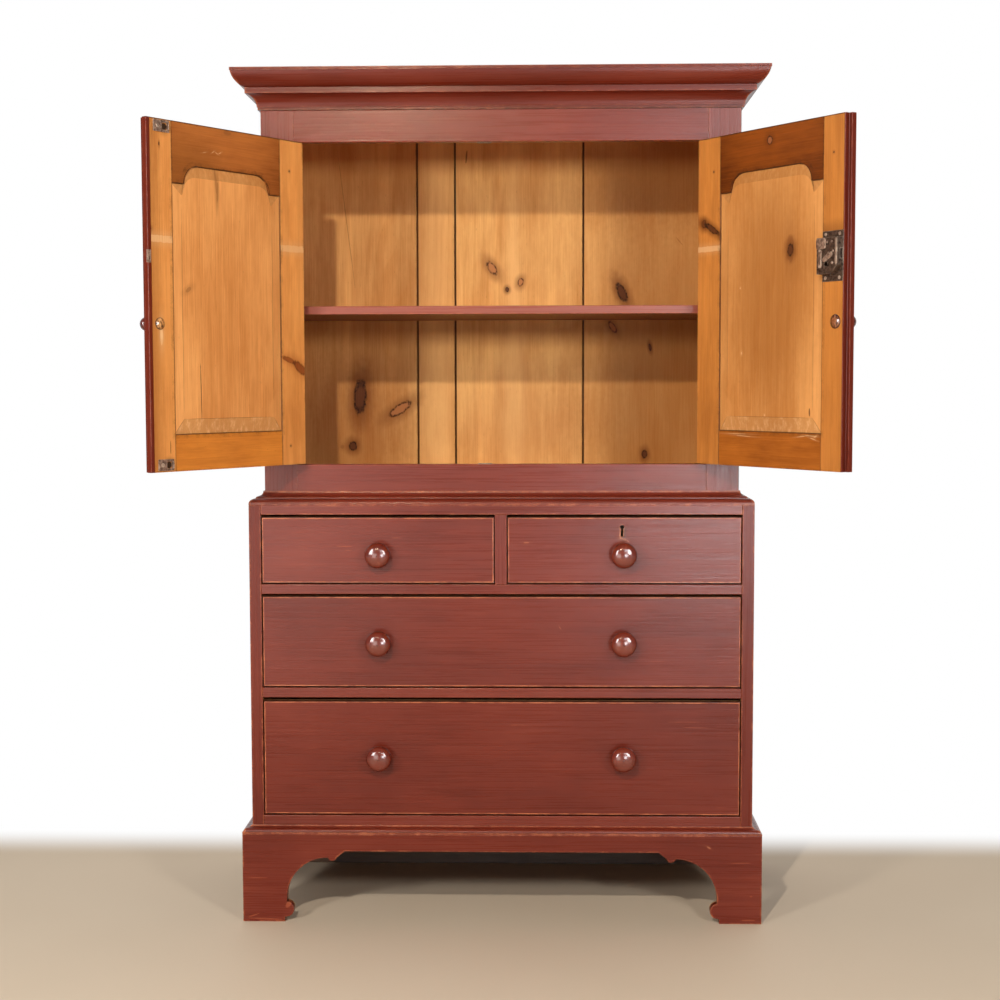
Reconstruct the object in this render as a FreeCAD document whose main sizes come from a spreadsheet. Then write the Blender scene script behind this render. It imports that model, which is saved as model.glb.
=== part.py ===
import FreeCAD
import Part
import math
import os
import Sketcher

# A painted pine linen press: a cupboard with two panelled doors that stands on a chest of four drawers.
# Millimetres, +Z up. The origin is on the floor at the middle of the back, and the front faces -Y.
# At rest the doors stand open and the drawers are shut.

# Driving sizes
SIZES = {
    # Chest of drawers
    "chest_width": 1066.8,
    "chest_depth": 445,
    "chest_side_thick": 25.4,
    "chest_board_thick": 18,
    "rail_height": 21,
    "rail_depth": 70,
    "rail_tenon": 8,
    "rail_tenon_inset": 15,
    "short_opening": 147.5,
    "middle_opening": 200.5,
    "bottom_opening": 254.5,
    "divider_width": 25.4,
    "divider_depth": 40,
    "runner_width": 30,
    "guide_height": 40,
    "stop_length": 40,
    "stop_depth": 18,
    "stop_height": 5,
    "stop_inset": 70,
    # Plinth with bracket feet
    "plinth_height": 191,
    "plinth_overhang": 19,
    "plinth_thick": 22,
    "plinth_moulding": 14.5,
    "plinth_fillet": 3,
    "plinth_fillet_step": 2,
    "plinth_round": 7,
    "plinth_quirk": 1,
    "plinth_cap": 2,
    "foot_width": 90,
    "foot_toe": 10.5,
    "lobe_height": 33,
    "lobe_step": 4.5,
    "lobe_centre": 2.5,
    "bracket_neck": 8,
    "plinth_rail": 38,
    "drop_width": 19,
    "drop_centre": 2.5,
    "arch_step": 17,
    "arch_rise": 13.5,
    "block_width": 40,
    "block_height": 160,
    # Waist moulding
    "waist_height": 28,
    "waist_lip": 1.5,
    "waist_ovolo_width": 9.4,
    "waist_ovolo_height": 10.5,
    "waist_fillet": 4,
    "waist_quirk": 1,
    "waist_bead_width": 3.5,
    "waist_bead_height": 4,
    "waist_cap": 3,
    # Cupboard
    "cupboard_setback": 30.4,
    "cupboard_side_thick": 18,
    "cupboard_board_thick": 18,
    "frame_thick": 22,
    "stile_width": 68.5,
    "frame_tenon": 30,
    "frame_tenon_thick": 8,
    "base_rail_height": 84.4,
    "opening_height": 676,
    "frieze_height": 66.6,
    "floor_drop": 28,
    "housing_depth": 6,
    "shelf_height": 318,
    "shelf_thick": 17.5,
    "shelf_setback": 8,
    "cornice_height": 80.5,
    "cornice_reach": 55,
    "cornice_lip": 8,
    "cornice_foot": 5,
    "cornice_foot_height": 6,
    "cornice_foot_quirk": 1.5,
    "cornice_fillet": 12,
    "cornice_fillet_quirk": 2,
    "cornice_fillet_step": 1,
    "cornice_ovolo_width": 25,
    "cornice_ovolo_height": 31,
    "cornice_cap": 6,
    "cornice_cap_step": 1,
    # Back boards
    "back_thick": 14,
    "back_rebate": 9,
    "back_gap": 2.5,
    "back_lap": 8,
    "left_board": 290,
    "narrow_board": 88.5,
    "middle_board": 299.5,
    # Doors
    "door_angle": 124,
    "door_thick": 22,
    "door_side_gap": 2.5,
    "door_top_gap": 3,
    "door_foot_gap": 2,
    "meeting_lap": 7,
    "meeting_gap": 1,
    "hinge_stile": 71,
    "meeting_stile": 64,
    "door_top_rail": 117,
    "door_foot_rail": 71,
    "door_tenon": 40,
    "door_tenon_thick": 7,
    "door_arch": 36,
    "door_shoulder": 33,
    "panel_groove": 8,
    "panel_tongue": 10,
    "panel_face_inset": 8.5,
    "panel_field_inset": 1,
    "panel_ease": 0.4,
    "bevel_side": 24,
    "bevel_foot": 30,
    "bevel_head": 22,
    "bevel_shoulder": 3,
    # Hinges
    "hinge_height": 65,
    "hinge_inset": 95,
    "hinge_barrel": 8,
    "hinge_pin": 3.4,
    "hinge_fit": 0.1,
    "hinge_leaf": 1.15,
    "hinge_leaf_width": 20,
    "hinge_proud": 4.3,
    "hinge_play": 0.3,
    # How far a cutting tool runs past the face that it cuts
    "cut_over": 1,
    # Door furniture
    "door_knob_height": 286,
    "door_knob_inset": 27,
    "door_knob_width": 27,
    "door_knob_reach": 26,
    "door_knob_foot": 16.4,
    "door_knob_foot_height": 2,
    "door_knob_neck": 12.4,
    "door_knob_neck_reach": 7,
    "door_knob_brim_reach": 14.6,
    "door_knob_crown": 15,
    "door_knob_crown_reach": 24.2,
    "door_shank": 16,
    "shank_proud": 6,
    "catch_width": 40,
    "catch_height": 22,
    "catch_thick": 2,
    "catch_inset": 17,
    "catch_edge": 3,
    "catch_tab": 5,
    "catch_window_inset": 6,
    "catch_window": 12,
    "catch_rim": 4.4,
    "strike_thick": 1.2,
    "strike_depth": 18,
    "strike_width": 30,
    "lock_rise": 409,
    "lock_width": 55,
    "lock_plate_height": 95,
    "lock_case_height": 68,
    "lock_case_depth": 15,
    "lock_wall": 2,
    "lock_corner": 16,
    "lock_key_inset": 30,
    "bolt_height": 20,
    "bolt_raise": 3.6,
    "bolt_thick": 7,
    "bolt_length": 38,
    "bolt_travel": 11,
    "bolt_play": 0.3,
    "keep_height": 24,
    "keep_width": 8,
    "keep_thick": 1.5,
    "keyhole_round": 9,
    "keyhole_slot": 5,
    "keyhole_drop": 20,
    # Drawers
    "drawer_side_gap": 1.5,
    "short_top_gap": 5.2,
    "middle_top_gap": 5.2,
    "bottom_top_gap": 8,
    "drawer_foot_gap": 2.4,
    "drawer_recess": 1,
    "drawer_front_thick": 20,
    "drawer_side_thick": 12,
    "drawer_side_drop": 5,
    "drawer_back_drop": 6,
    "drawer_bottom_thick": 8,
    "drawer_bottom_rise": 10,
    "drawer_groove": 6,
    "drawer_back_room": 14,
    "tail_lap": 6,
    "knob_width": 55,
    "knob_reach": 42,
    "knob_foot": 33,
    "knob_foot_height": 3.4,
    "knob_neck": 25.4,
    "knob_neck_reach": 11,
    "knob_brim_reach": 23.6,
    "knob_crown": 30,
    "knob_crown_reach": 39,
    "knob_shank": 18,
    "knob_spacing": 259,
    "short_knob_rise": 63.5,
    "middle_knob_rise": 97.5,
    "bottom_knob_rise": 127.5,
    "drawer_keyhole_rise": 121.5,
    "drawer_keyhole_side": 255.3,
    "drawer_lock_width": 50,
    "drawer_lock_height": 48,
    "drawer_lock_depth": 11,
    "drawer_bolt_width": 20,
    "drawer_bolt_thick": 5,
    "drawer_bolt_length": 24,
    "drawer_bolt_travel": 9,
}
# How many tails join a drawer side to its front, and how wide a tail is at its end and its neck
TAILS = 3
TAIL_END = 0.62
TAIL_NECK = 0.46
# How many knuckles a butt hinge has
KNUCKLES = 5
# How many boards close the back of the chest
CHEST_BACK_BOARDS = 4

document = FreeCAD.newDocument("linen_press")
sheet = document.addObject("Spreadsheet::Sheet", "sizes")
for row, (alias, number) in enumerate(SIZES.items(), start=1):
    sheet.set(f"A{row}", str(number))
    sheet.setAlias(f"A{row}", alias)
document.recompute()


class Size:
    """A length that holds both its number and the sheet formula that gives it."""

    def __init__(self, number, text):
        self.number = number
        self.text = text

    def join(self, sign, other, number):
        return Size(number, f"({self.text} {sign} {as_size(other).text})")

    def __add__(self, other):
        return self.join("+", other, self.number + as_size(other).number)

    def __sub__(self, other):
        return self.join("-", other, self.number - as_size(other).number)

    def __mul__(self, other):
        return self.join("*", other, self.number * as_size(other).number)

    def __truediv__(self, other):
        return self.join("/", other, self.number / as_size(other).number)

    def __neg__(self):
        return self * -1


def as_size(value):
    return value if isinstance(value, Size) else Size(float(value), f"({value})")


class Sizes:
    """The sheet's sizes by name."""

    def __getattr__(self, alias):
        return Size(float(SIZES[alias]), f"sizes.{alias}")


size = Sizes()
zero = as_size(0)


def bind(piece, prop, value):
    piece.setExpression(prop, as_size(value).text)


def place(piece, x, y, z, turn=None):
    """Put a piece at a point, turned about the vertical by an angle in degrees."""
    for axis, value in zip("xyz", (x, y, z)):
        bind(piece, f"Placement.Base.{axis}", value)
    if turn is not None:
        piece.setExpression("Placement.Rotation.Angle", f"{as_size(turn).text} * 1 deg")
    return piece


def box(name, x, y, z):
    """A board between two corners, given as a low and a high value along each axis."""
    board = document.addObject("Part::Box", name)
    for axis, side, (low, high) in zip("xyz", ("Length", "Width", "Height"), (x, y, z)):
        bind(board, f"Placement.Base.{axis}", low)
        bind(board, side, as_size(high) - low)
    return board


def rod(name, radius, x, y, z, height):
    """A round rod that stands up from a point."""
    piece = document.addObject("Part::Cylinder", name)
    bind(piece, "Radius", radius)
    bind(piece, "Height", height)
    return place(piece, x, y, z)


def bore(name, radius, x, y, z, length):
    """A round rod that runs towards the back from a point."""
    piece = document.addObject("Part::Cylinder", name)
    piece.Placement.Rotation = FreeCAD.Rotation(FreeCAD.Vector(1, 0, 0), -90)
    bind(piece, "Radius", radius)
    bind(piece, "Height", length)
    return place(piece, x, y, z)


def fuse(name, *pieces):
    joined = document.addObject("Part::MultiFuse", name)
    joined.Shapes = list(pieces)
    joined.Refine = True
    return joined


def cut(name, base, *tools):
    """A piece with the space of each tool taken out of it."""
    left = document.addObject("Part::Cut", name)
    left.Base = base
    left.Tool = tools[0] if len(tools) == 1 else fuse(f"{name}_tools", *tools)
    return left


def arc_centre(start, end, known, value):
    """The centre of the arc between two points whose centre has one known coordinate."""
    (a, b), (c, d) = start, end
    if known == "u":
        return value, ((a - value) ** 2 - (c - value) ** 2 + b * b - d * d) / (2 * (b - d))
    return ((b - value) ** 2 - (d - value) ** 2 + a * a - c * c) / (2 * (a - c)), value


def outline(body, name, plane, corners):
    """A closed sketch through corners (u, v). A corner with a third item, ("u" or "v", value), ends an
    arc of under a half circle whose centre has that coordinate. Every corner is tied to the sheet."""
    sketch = body.newObject("Sketcher::SketchObject", name)
    support = [feature for feature in body.Origin.OriginFeatures if feature.Role == plane]
    sketch.AttachmentSupport = [(support[0], "")]
    sketch.MapMode = "FlatFace"
    corners = [(as_size(corner[0]), as_size(corner[1]), *corner[2:]) for corner in corners]
    spots = [(u.number, v.number) for u, v, *_ in corners]
    ties = []
    ends = []
    for index, start in enumerate(spots):
        following = (index + 1) % len(corners)
        end = spots[following]
        arc = corners[following][2:]
        if arc:
            known, value = arc[0]
            value = as_size(value)
            centre = arc_centre(start, end, known, value.number)
            angles = [math.atan2(y - centre[1], x - centre[0]) for x, y in (start, end)]
            forward = (angles[1] - angles[0]) % (2 * math.pi) < math.pi
            low, high = angles if forward else angles[::-1]
            circle = Part.Circle(
                FreeCAD.Vector(*centre, 0), FreeCAD.Vector(0, 0, 1), math.dist(start, centre)
            )
            edge = sketch.addGeometry(Part.ArcOfCircle(circle, low, low + (high - low) % (2 * math.pi)))
            ends.append((edge, 1, 2) if forward else (edge, 2, 1))
            ties.append(("DistanceX" if known == "u" else "DistanceY", edge, 3, value))
        else:
            line = Part.LineSegment(FreeCAD.Vector(*start, 0), FreeCAD.Vector(*end, 0))
            edge = sketch.addGeometry(line)
            ends.append((edge, 1, 2))
        u, v = corners[index][:2]
        ties.append(("DistanceX", edge, ends[-1][1], u))
        ties.append(("DistanceY", edge, ends[-1][1], v))
    sketch.addConstraint([
        Sketcher.Constraint("Coincident", edge, last, *ends[(index + 1) % len(ends)][:2])
        for index, (edge, first, last) in enumerate(ends)
    ])
    for kind, edge, spot, value in ties:
        tie = sketch.addConstraint(Sketcher.Constraint(kind, -1, 1, edge, spot, value.number))
        sketch.setExpression(f"Constraints[{tie}]", value.text)
    return sketch


def padded(name, plane, corners, length, reverse=False):
    """A body made by drawing an outline on one of its own planes and padding it out."""
    body = document.addObject("PartDesign::Body", name)
    sketch = outline(body, f"{name}_outline", plane, corners)
    pad = body.newObject("PartDesign::Pad", f"{name}_pad")
    pad.Profile = sketch
    pad.Reversed = reverse
    bind(pad, "Length", length)
    return body


def turned(name, corners):
    """A turned body: a half outline of radius and distance, spun about the body's own Y axis."""
    body = document.addObject("PartDesign::Body", name)
    sketch = outline(body, f"{name}_outline", "XY_Plane", corners)
    spin = body.newObject("PartDesign::Revolution", f"{name}_spin")
    spin.Profile = sketch
    spin.ReferenceAxis = (sketch, ["V_Axis"])
    spin.Angle = 360
    return body


nodes = {}


def node(label, *pieces, x=zero, y=zero, z=zero, turn=None):
    """One named node of the press: a group of one or more separate solids at a placement."""
    group = document.addObject("Part::Compound", f"node_{label}")
    group.Links = list(pieces)
    group.Label = label
    place(group, x, y, z, turn)
    nodes[label] = group
    return group


# Places that the pieces share
chest_side = size.chest_width / 2
chest_inside = chest_side - size.chest_side_thick
chest_front = -size.chest_depth
rail_back = chest_front + size.rail_depth
carcass_back = -size.back_thick
chest_floor = size.plinth_height
bottom_rail_top = chest_floor + size.plinth_moulding + size.rail_height
bottom_opening_top = bottom_rail_top + size.bottom_opening
lower_rail_top = bottom_opening_top + size.rail_height
middle_opening_top = lower_rail_top + size.middle_opening
upper_rail_top = middle_opening_top + size.rail_height
short_opening_top = upper_rail_top + size.short_opening
chest_top = short_opening_top + size.rail_height
setback = size.cupboard_setback
cupboard_front = chest_front + setback
cupboard_side = chest_side - setback
cupboard_inside = cupboard_side - size.cupboard_side_thick
frame_back = cupboard_front + size.frame_thick
opening_side = cupboard_side - size.stile_width
opening_low = chest_top + size.base_rail_height
opening_high = opening_low + size.opening_height
cornice_low = opening_high + size.frieze_height
carcass_top = cornice_low + size.cornice_height - size.cornice_lip
pin_side = opening_side - size.door_side_gap / 2
pin_front = cupboard_front - size.hinge_proud
door_low = opening_low + size.door_foot_gap
door_high = opening_high - size.door_top_gap


def both_sides(low, high):
    """The same stretch along X on the left and on the right."""
    return ((-high, -low), (low, high))


def boarded_back(name, edges, low, high):
    """Upright boards that close a back: each laps behind the next, with a narrow gap showing inside."""
    boards = []
    last = len(edges) - 2
    lap_face = -size.back_thick / 2
    for index, (left, right) in enumerate(zip(edges, edges[1:])):
        face_right = right if index == last else right - size.back_gap
        face = box(f"{name}_face_{index}", (left, face_right), (carcass_back, lap_face), (low, high))
        lap_left = left if index == 0 else left + size.back_lap
        lap_right = right if index == last else right + size.back_lap - size.back_gap
        lap = box(f"{name}_lap_{index}", (lap_left, lap_right), (lap_face, zero), (low, high))
        boards.append(fuse(f"{name}_{index}", face, lap))
    return boards


def moulding(name, profile, face_side, face_front, low, reach):
    """Three lengths of moulding, mitred round the front and both ends of a carcass. The profile is drawn
    outwards from the carcass and upwards."""
    width = (face_side + reach) * 2
    depth = reach - face_front
    runs = (
        (f"{name}_right", zero, face_side, face_front - reach, depth, True, False),
        (f"{name}_front", as_size(-90), -face_side - reach, face_front, width, True, True),
        (f"{name}_left", as_size(180), -face_side, zero, depth, False, True),
    )
    lengths = []
    for label, turn, x, y, length, mitre_start, mitre_end in runs:
        body = padded(label, "XZ_Plane", profile, length, reverse=True)
        mitres = []
        if mitre_start:
            mitres.append([(0, 0), (reach, 0), (0, reach)])
        if mitre_end:
            mitres.append([(0, length), (0, length - reach), (reach, length)])
        for index, corners in enumerate(mitres):
            sketch = outline(body, f"{label}_mitre_{index}", "XY_Plane", corners)
            slice_off = body.newObject("PartDesign::Pocket", f"{label}_slice_{index}")
            slice_off.Profile = sketch
            slice_off.Type = "ThroughAll"
            slice_off.Midplane = True
        lengths.append(place(body, x, y, low, turn))
    return lengths


# Chest: rails, divider and the boards between the sides
def drawer_rail(name, low, high):
    """A rail across the front of the chest, with a stub tenon let into each side."""
    bar = box(f"{name}_bar", (-chest_inside, chest_inside), (chest_front, rail_back), (low, high))
    tenon_front = chest_front + size.rail_tenon_inset
    reach = chest_inside + size.rail_tenon
    tenon = box(
        f"{name}_tenon", (-reach, reach), (tenon_front, rail_back - size.rail_tenon_inset), (low, high)
    )
    return fuse(name, bar, tenon)


def chest():
    upper_low = upper_rail_top - size.rail_height
    lower_low = lower_rail_top - size.rail_height
    top_rail = drawer_rail("top_rail", short_opening_top, chest_top)
    bolt_side = size.drawer_bolt_width / 2 + size.bolt_play
    bolt_front = drawer_lock_front() - size.bolt_play
    bolt_back = bolt_front + size.drawer_bolt_thick + size.bolt_play * 2
    strike = box(
        "top_rail_strike",
        (size.drawer_keyhole_side - bolt_side, size.drawer_keyhole_side + bolt_side),
        (bolt_front, bolt_back),
        (short_opening_top - size.cut_over, short_opening_top + size.drawer_bolt_travel),
    )
    upper_rail = drawer_rail("upper_rail", upper_low, upper_rail_top)
    lower_rail = drawer_rail("lower_rail", lower_low, lower_rail_top)
    bottom_rail = drawer_rail("bottom_rail", chest_floor, bottom_rail_top)
    inside = (-chest_inside, chest_inside)
    top_board = box(
        "top_board", inside, (rail_back, carcass_back), (chest_top - size.chest_board_thick, chest_top)
    )
    floor_top = chest_floor + size.chest_board_thick
    floor_board = box("floor_board", inside, (rail_back, carcass_back), (chest_floor, floor_top))
    sides = []
    for label, across in zip(("left", "right"), both_sides(chest_inside, chest_side)):
        board = box(f"chest_side_{label}", across, (chest_front, zero), (chest_floor, chest_top))
        rebate_reach = chest_inside + size.back_rebate
        rebate = box(
            f"chest_rebate_{label}", (-rebate_reach, rebate_reach), (carcass_back, zero), (
                chest_floor, chest_top
            )
        )
        sides.append(
            cut(f"chest_side_{label}_cut", board, top_rail, upper_rail, lower_rail, bottom_rail, rebate)
        )
    node("chest_sides", *sides)
    node("chest_top_board", top_board)
    node("chest_floor_board", floor_board)
    node("chest_top_rail", cut("top_rail_cut", top_rail, strike))
    node("chest_upper_rail", upper_rail)
    node("chest_lower_rail", lower_rail)
    node("chest_bottom_rail", bottom_rail)
    half = size.divider_width / 2
    post = box(
        "divider",
        (-half, half),
        (chest_front, chest_front + size.divider_depth),
        (upper_rail_top, short_opening_top),
    )
    node("drawer_divider", post)
    runners = []
    for level, low, high in (
        ("upper", upper_low, upper_rail_top),
        ("lower", lower_low, lower_rail_top),
        ("bottom", floor_top, bottom_rail_top),
    ):
        for index, across in enumerate(both_sides(chest_inside - size.runner_width, chest_inside)):
            runners.append(box(f"{level}_runner_{index}", across, (rail_back, carcass_back), (low, high)))
    reach = half + size.runner_width
    shared = box("shared_runner", (-reach, reach), (rail_back, carcass_back), (upper_low, upper_rail_top))
    guide_front = chest_front + size.divider_depth
    guide = box(
        "guide",
        (-half, half),
        (guide_front, carcass_back),
        (upper_rail_top, upper_rail_top + size.guide_height),
    )
    node("drawer_runners", *runners, fuse("shared_runner_guide", shared, guide))
    stops = []
    stop_front = chest_front + size.drawer_recess + size.drawer_front_thick
    stop_back = stop_front + size.stop_depth
    for level, low, inner in (
        ("upper", upper_rail_top, half),
        ("lower", lower_rail_top, zero),
        ("bottom", bottom_rail_top, zero),
    ):
        near = chest_inside - size.stop_inset - size.stop_length
        if level == "upper":
            near = inner + size.stop_inset
        for index, across in enumerate(both_sides(near, near + size.stop_length)):
            stops.append(
                box(
                    f"{level}_stop_{index}",
                    across,
                    (stop_front, stop_back),
                    (low, low + size.stop_height),
                ),
            )
    node("drawer_stops", *stops)
    reach = chest_inside + size.back_rebate
    step = reach * 2 / CHEST_BACK_BOARDS
    edges = [-reach + step * index for index in range(CHEST_BACK_BOARDS)] + [reach]
    node("chest_back_boards", *boarded_back("chest_back", edges, chest_floor, chest_top))


# Plinth: a shaped front, two shaped sides and a plain back, with glue blocks in the corners
def bracket_foot(start, toe):
    """Half of a bracket foot's cut edge, from the floor up to the top of its quarter round."""
    lobe_low = size.foot_toe
    lobe_high = lobe_low + size.lobe_height
    step = toe + size.lobe_step
    base = lobe_high + size.bracket_neck
    radius = size.plinth_height - size.plinth_rail - size.arch_rise - base
    return [
        (start + toe, 0),
        (start + toe, lobe_low),
        (start + step, lobe_low),
        (start + step, lobe_high, ("u", start + toe + size.lobe_centre)),
        (start + step, base),
        (start + step + radius, base + radius, ("v", base)),
    ]


def mirrored(half, span):
    """The corners of a half outline, then the same corners seen from the other end of the span."""
    other = []
    arcs = [corner[2] if len(corner) > 2 else None for corner in half]
    for index in range(len(half) - 1, -1, -1):
        u, v = half[index][:2]
        arc = arcs[index + 1] if index + 1 < len(half) else None
        corner = (span - u, v)
        if arc:
            corner += ((arc[0], span - arc[1] if arc[0] == "u" else arc[1]),)
        other.append(corner)
    return half + other


def plinth():
    side = chest_side + size.plinth_overhang
    front = chest_front - size.plinth_overhang
    span = side * 2
    half = bracket_foot(zero, size.foot_width)
    u, v = half[-1][:2]
    drop = u + size.drop_width
    half.append((drop, v, ("v", v + size.drop_centre)))
    half.append((drop + size.arch_step, v + size.arch_rise))
    corners = [(0, size.plinth_height), (0, 0)] + mirrored(half, span) + [
        (span, 0), (span, size.plinth_height)
    ]
    board = padded("plinth_front_board", "XZ_Plane", corners, size.plinth_thick, reverse=True)
    node("plinth_front", board, x=-side, y=front)
    depth = -(front + size.plinth_thick)
    boards = []
    ahead = bracket_foot(zero, size.foot_width - size.plinth_thick)
    behind = mirrored(bracket_foot(zero, size.foot_width), depth)[len(ahead):]
    corners = [(0, size.plinth_height), (0, 0)] + ahead + behind + [
        (depth, 0), (depth, size.plinth_height)
    ]
    for label, low in (("left", -side), ("right", side - size.plinth_thick)):
        body = padded(f"plinth_{label}", "YZ_Plane", corners, size.plinth_thick)
        boards.append(place(body, low, -depth, zero))
    node("plinth_sides", *boards)
    inner = side - size.plinth_thick
    node(
        "plinth_back",
        box("plinth_back_board", (-inner, inner), (-size.plinth_thick, zero), (zero, size.plinth_height)),
    )
    blocks = []
    for end, low in (
        ("front", front + size.plinth_thick), ("back", -size.plinth_thick - size.block_width)
    ):
        for index, across in enumerate(both_sides(inner - size.block_width, inner)):
            upright = (size.plinth_height - size.block_height, size.plinth_height)
            blocks.append(box(f"{end}_block_{index}", across, (low, low + size.block_width), upright))
    node("plinth_blocks", *blocks)
    reach = size.plinth_overhang
    fillet = size.plinth_fillet
    brow = reach - size.plinth_fillet_step - size.plinth_round
    brow_height = fillet + size.plinth_round
    hollow = brow - size.plinth_quirk
    profile = [
        (0, 0),
        (reach, 0),
        (reach, fillet),
        (reach - size.plinth_fillet_step, fillet),
        (brow, brow_height, ("u", brow)),
        (hollow, brow_height),
        (size.plinth_cap, size.plinth_moulding, ("u", hollow)),
        (0, size.plinth_moulding),
    ]
    node(
        "plinth_moulding",
        *moulding("plinth_moulding", profile, chest_side, chest_front, size.plinth_height, reach),
    )


# Cupboard: sides, boards, face frame, shelf, back and mouldings
def frame_rail(name, low, high, tenon_low, tenon_high):
    """A rail of the face frame, with a tenon into each stile."""
    bar = box(f"{name}_bar", (-opening_side, opening_side), (cupboard_front, frame_back), (low, high))
    reach = opening_side + size.frame_tenon
    front = cupboard_front + (size.frame_thick - size.frame_tenon_thick) / 2
    tenon = box(
        f"{name}_tenon", (-reach, reach), (front, front + size.frame_tenon_thick), (tenon_low, tenon_high)
    )
    return fuse(name, bar, tenon)


def cupboard():
    tenon_shoulder = size.rail_tenon_inset
    frieze = frame_rail(
        "frieze", opening_high, carcass_top, opening_high + tenon_shoulder, carcass_top - tenon_shoulder
    )
    base_rail = frame_rail(
        "base_rail", chest_top, opening_low, chest_top + tenon_shoulder, opening_low - tenon_shoulder
    )
    node("frieze_rail", frieze)
    node("cupboard_base_rail", base_rail)
    stiles = []
    for label, across in zip(("left", "right"), both_sides(opening_side, cupboard_side)):
        stile = box(f"stile_{label}", across, (cupboard_front, frame_back), (chest_top, carcass_top))
        stiles.append(cut(f"stile_{label}_cut", stile, frieze, base_rail))
    node("cupboard_stiles", *stiles)
    reach = cupboard_inside + size.housing_depth
    housed = (-reach, reach)
    run = (frame_back, carcass_back)
    floor_high = opening_low - size.floor_drop
    floor_board = box("cupboard_floor", housed, run, (floor_high - size.cupboard_board_thick, floor_high))
    top_board = box("cupboard_top", housed, run, (carcass_top - size.cupboard_board_thick, carcass_top))
    shelf_low = opening_low + size.shelf_height
    shelf_front = frame_back + size.shelf_setback
    shelf = box(
        "shelf_board", housed, (shelf_front, carcass_back), (shelf_low, shelf_low + size.shelf_thick)
    )
    node("cupboard_floor_board", floor_board)
    node("cupboard_top_board", top_board)
    node("shelf", shelf)
    sides = []
    rebate_reach = cupboard_inside + size.back_rebate
    upright = (chest_top, carcass_top)
    for label, across in zip(("left", "right"), both_sides(cupboard_inside, cupboard_side)):
        board = box(f"cupboard_side_{label}", across, (frame_back, zero), upright)
        rebate = box(
            f"cupboard_rebate_{label}", (-rebate_reach, rebate_reach), (carcass_back, zero), upright
        )
        sides.append(cut(f"cupboard_side_{label}_cut", board, floor_board, top_board, shelf, rebate))
    node("cupboard_sides", *sides)
    edges = [-rebate_reach]
    for width in (size.left_board, size.narrow_board, size.middle_board):
        edges.append(edges[-1] + width)
    node("cupboard_back_boards", *boarded_back("cupboard_back", edges + [rebate_reach], *upright))
    lip = size.waist_lip
    ovolo = setback - size.waist_ovolo_width
    ovolo_top = lip + size.waist_ovolo_height
    bead = ovolo - size.waist_fillet
    bead_low = ovolo_top + size.waist_quirk
    hollow = bead - size.waist_bead_width
    waist = [
        (0, 0),
        (setback, 0),
        (setback, lip),
        (ovolo, ovolo_top, ("v", lip)),
        (bead, ovolo_top),
        (bead, bead_low),
        (hollow, bead_low + size.waist_bead_height, ("v", bead_low)),
        (size.waist_cap, size.waist_height, ("u", hollow)),
        (0, size.waist_height),
    ]
    node("waist_moulding", *moulding("waist", waist, cupboard_side, cupboard_front, chest_top, setback))
    out = size.cornice_reach
    up = size.cornice_height
    foot = size.cornice_foot
    foot_top = size.cornice_foot_height
    cap_low = up - size.cornice_cap
    ovolo = out - size.cornice_cap_step
    ovolo_low = cap_low - size.cornice_ovolo_height
    ovolo_root = ovolo - size.cornice_ovolo_width
    fillet = ovolo_root - size.cornice_fillet_step
    fillet_low = ovolo_low - size.cornice_fillet
    cornice = [
        (0, 0),
        (foot, 0),
        (foot, foot_top),
        (foot + size.cornice_foot_quirk, foot_top),
        (fillet - size.cornice_fillet_quirk, fillet_low, ("v", foot_top)),
        (fillet, fillet_low),
        (fillet, ovolo_low),
        (ovolo_root, ovolo_low),
        (ovolo, cap_low, ("v", up)),
        (out, cap_low),
        (out, up),
        (0, up),
    ]
    node("cornice", *moulding("cornice", cornice, cupboard_side, cupboard_front, cornice_low, out))


# Doors, in a frame of their own: x from the hinge pin towards the meeting edge, y into the cupboard.
# The right door is the left one seen in a mirror, so its pieces lie along -x.
door_face = size.hinge_proud
door_inner = door_face + size.door_thick
door_edge = size.door_side_gap / 2
door_middle = pin_side
lap_reach = door_middle + (size.meeting_lap - size.meeting_gap) / 2
short_reach = lap_reach - size.meeting_lap
rail_start = door_edge + size.hinge_stile
rail_end = lap_reach - size.meeting_stile


def along(hand, low, high):
    """A stretch along a door, on the side of the pin that the door lies."""
    return (low, high) if hand > 0 else (-high, -low)


def door_outline(side, foot, head, shoulder_width):
    """The outline of a door panel, square at the foot and with a shouldered arch at the head. It is drawn
    inwards from the frame's edge by its side, foot and head, from the corner of the panel's tongue."""
    groove = size.panel_groove
    width = rail_end - rail_start
    left = groove + side
    right = groove + width - side
    low = size.door_foot_rail + foot
    shoulder = door_high - door_low - size.door_top_rail - head
    arch = shoulder + size.door_arch
    turn = left + shoulder_width
    end = turn + size.door_arch
    across = left + right
    return [
        (left, low),
        (right, low),
        (right, shoulder),
        (across - turn, shoulder),
        (across - end, arch, ("v", shoulder)),
        (end, arch),
        (turn, shoulder, ("u", end)),
        (left, shoulder),
    ]


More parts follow.
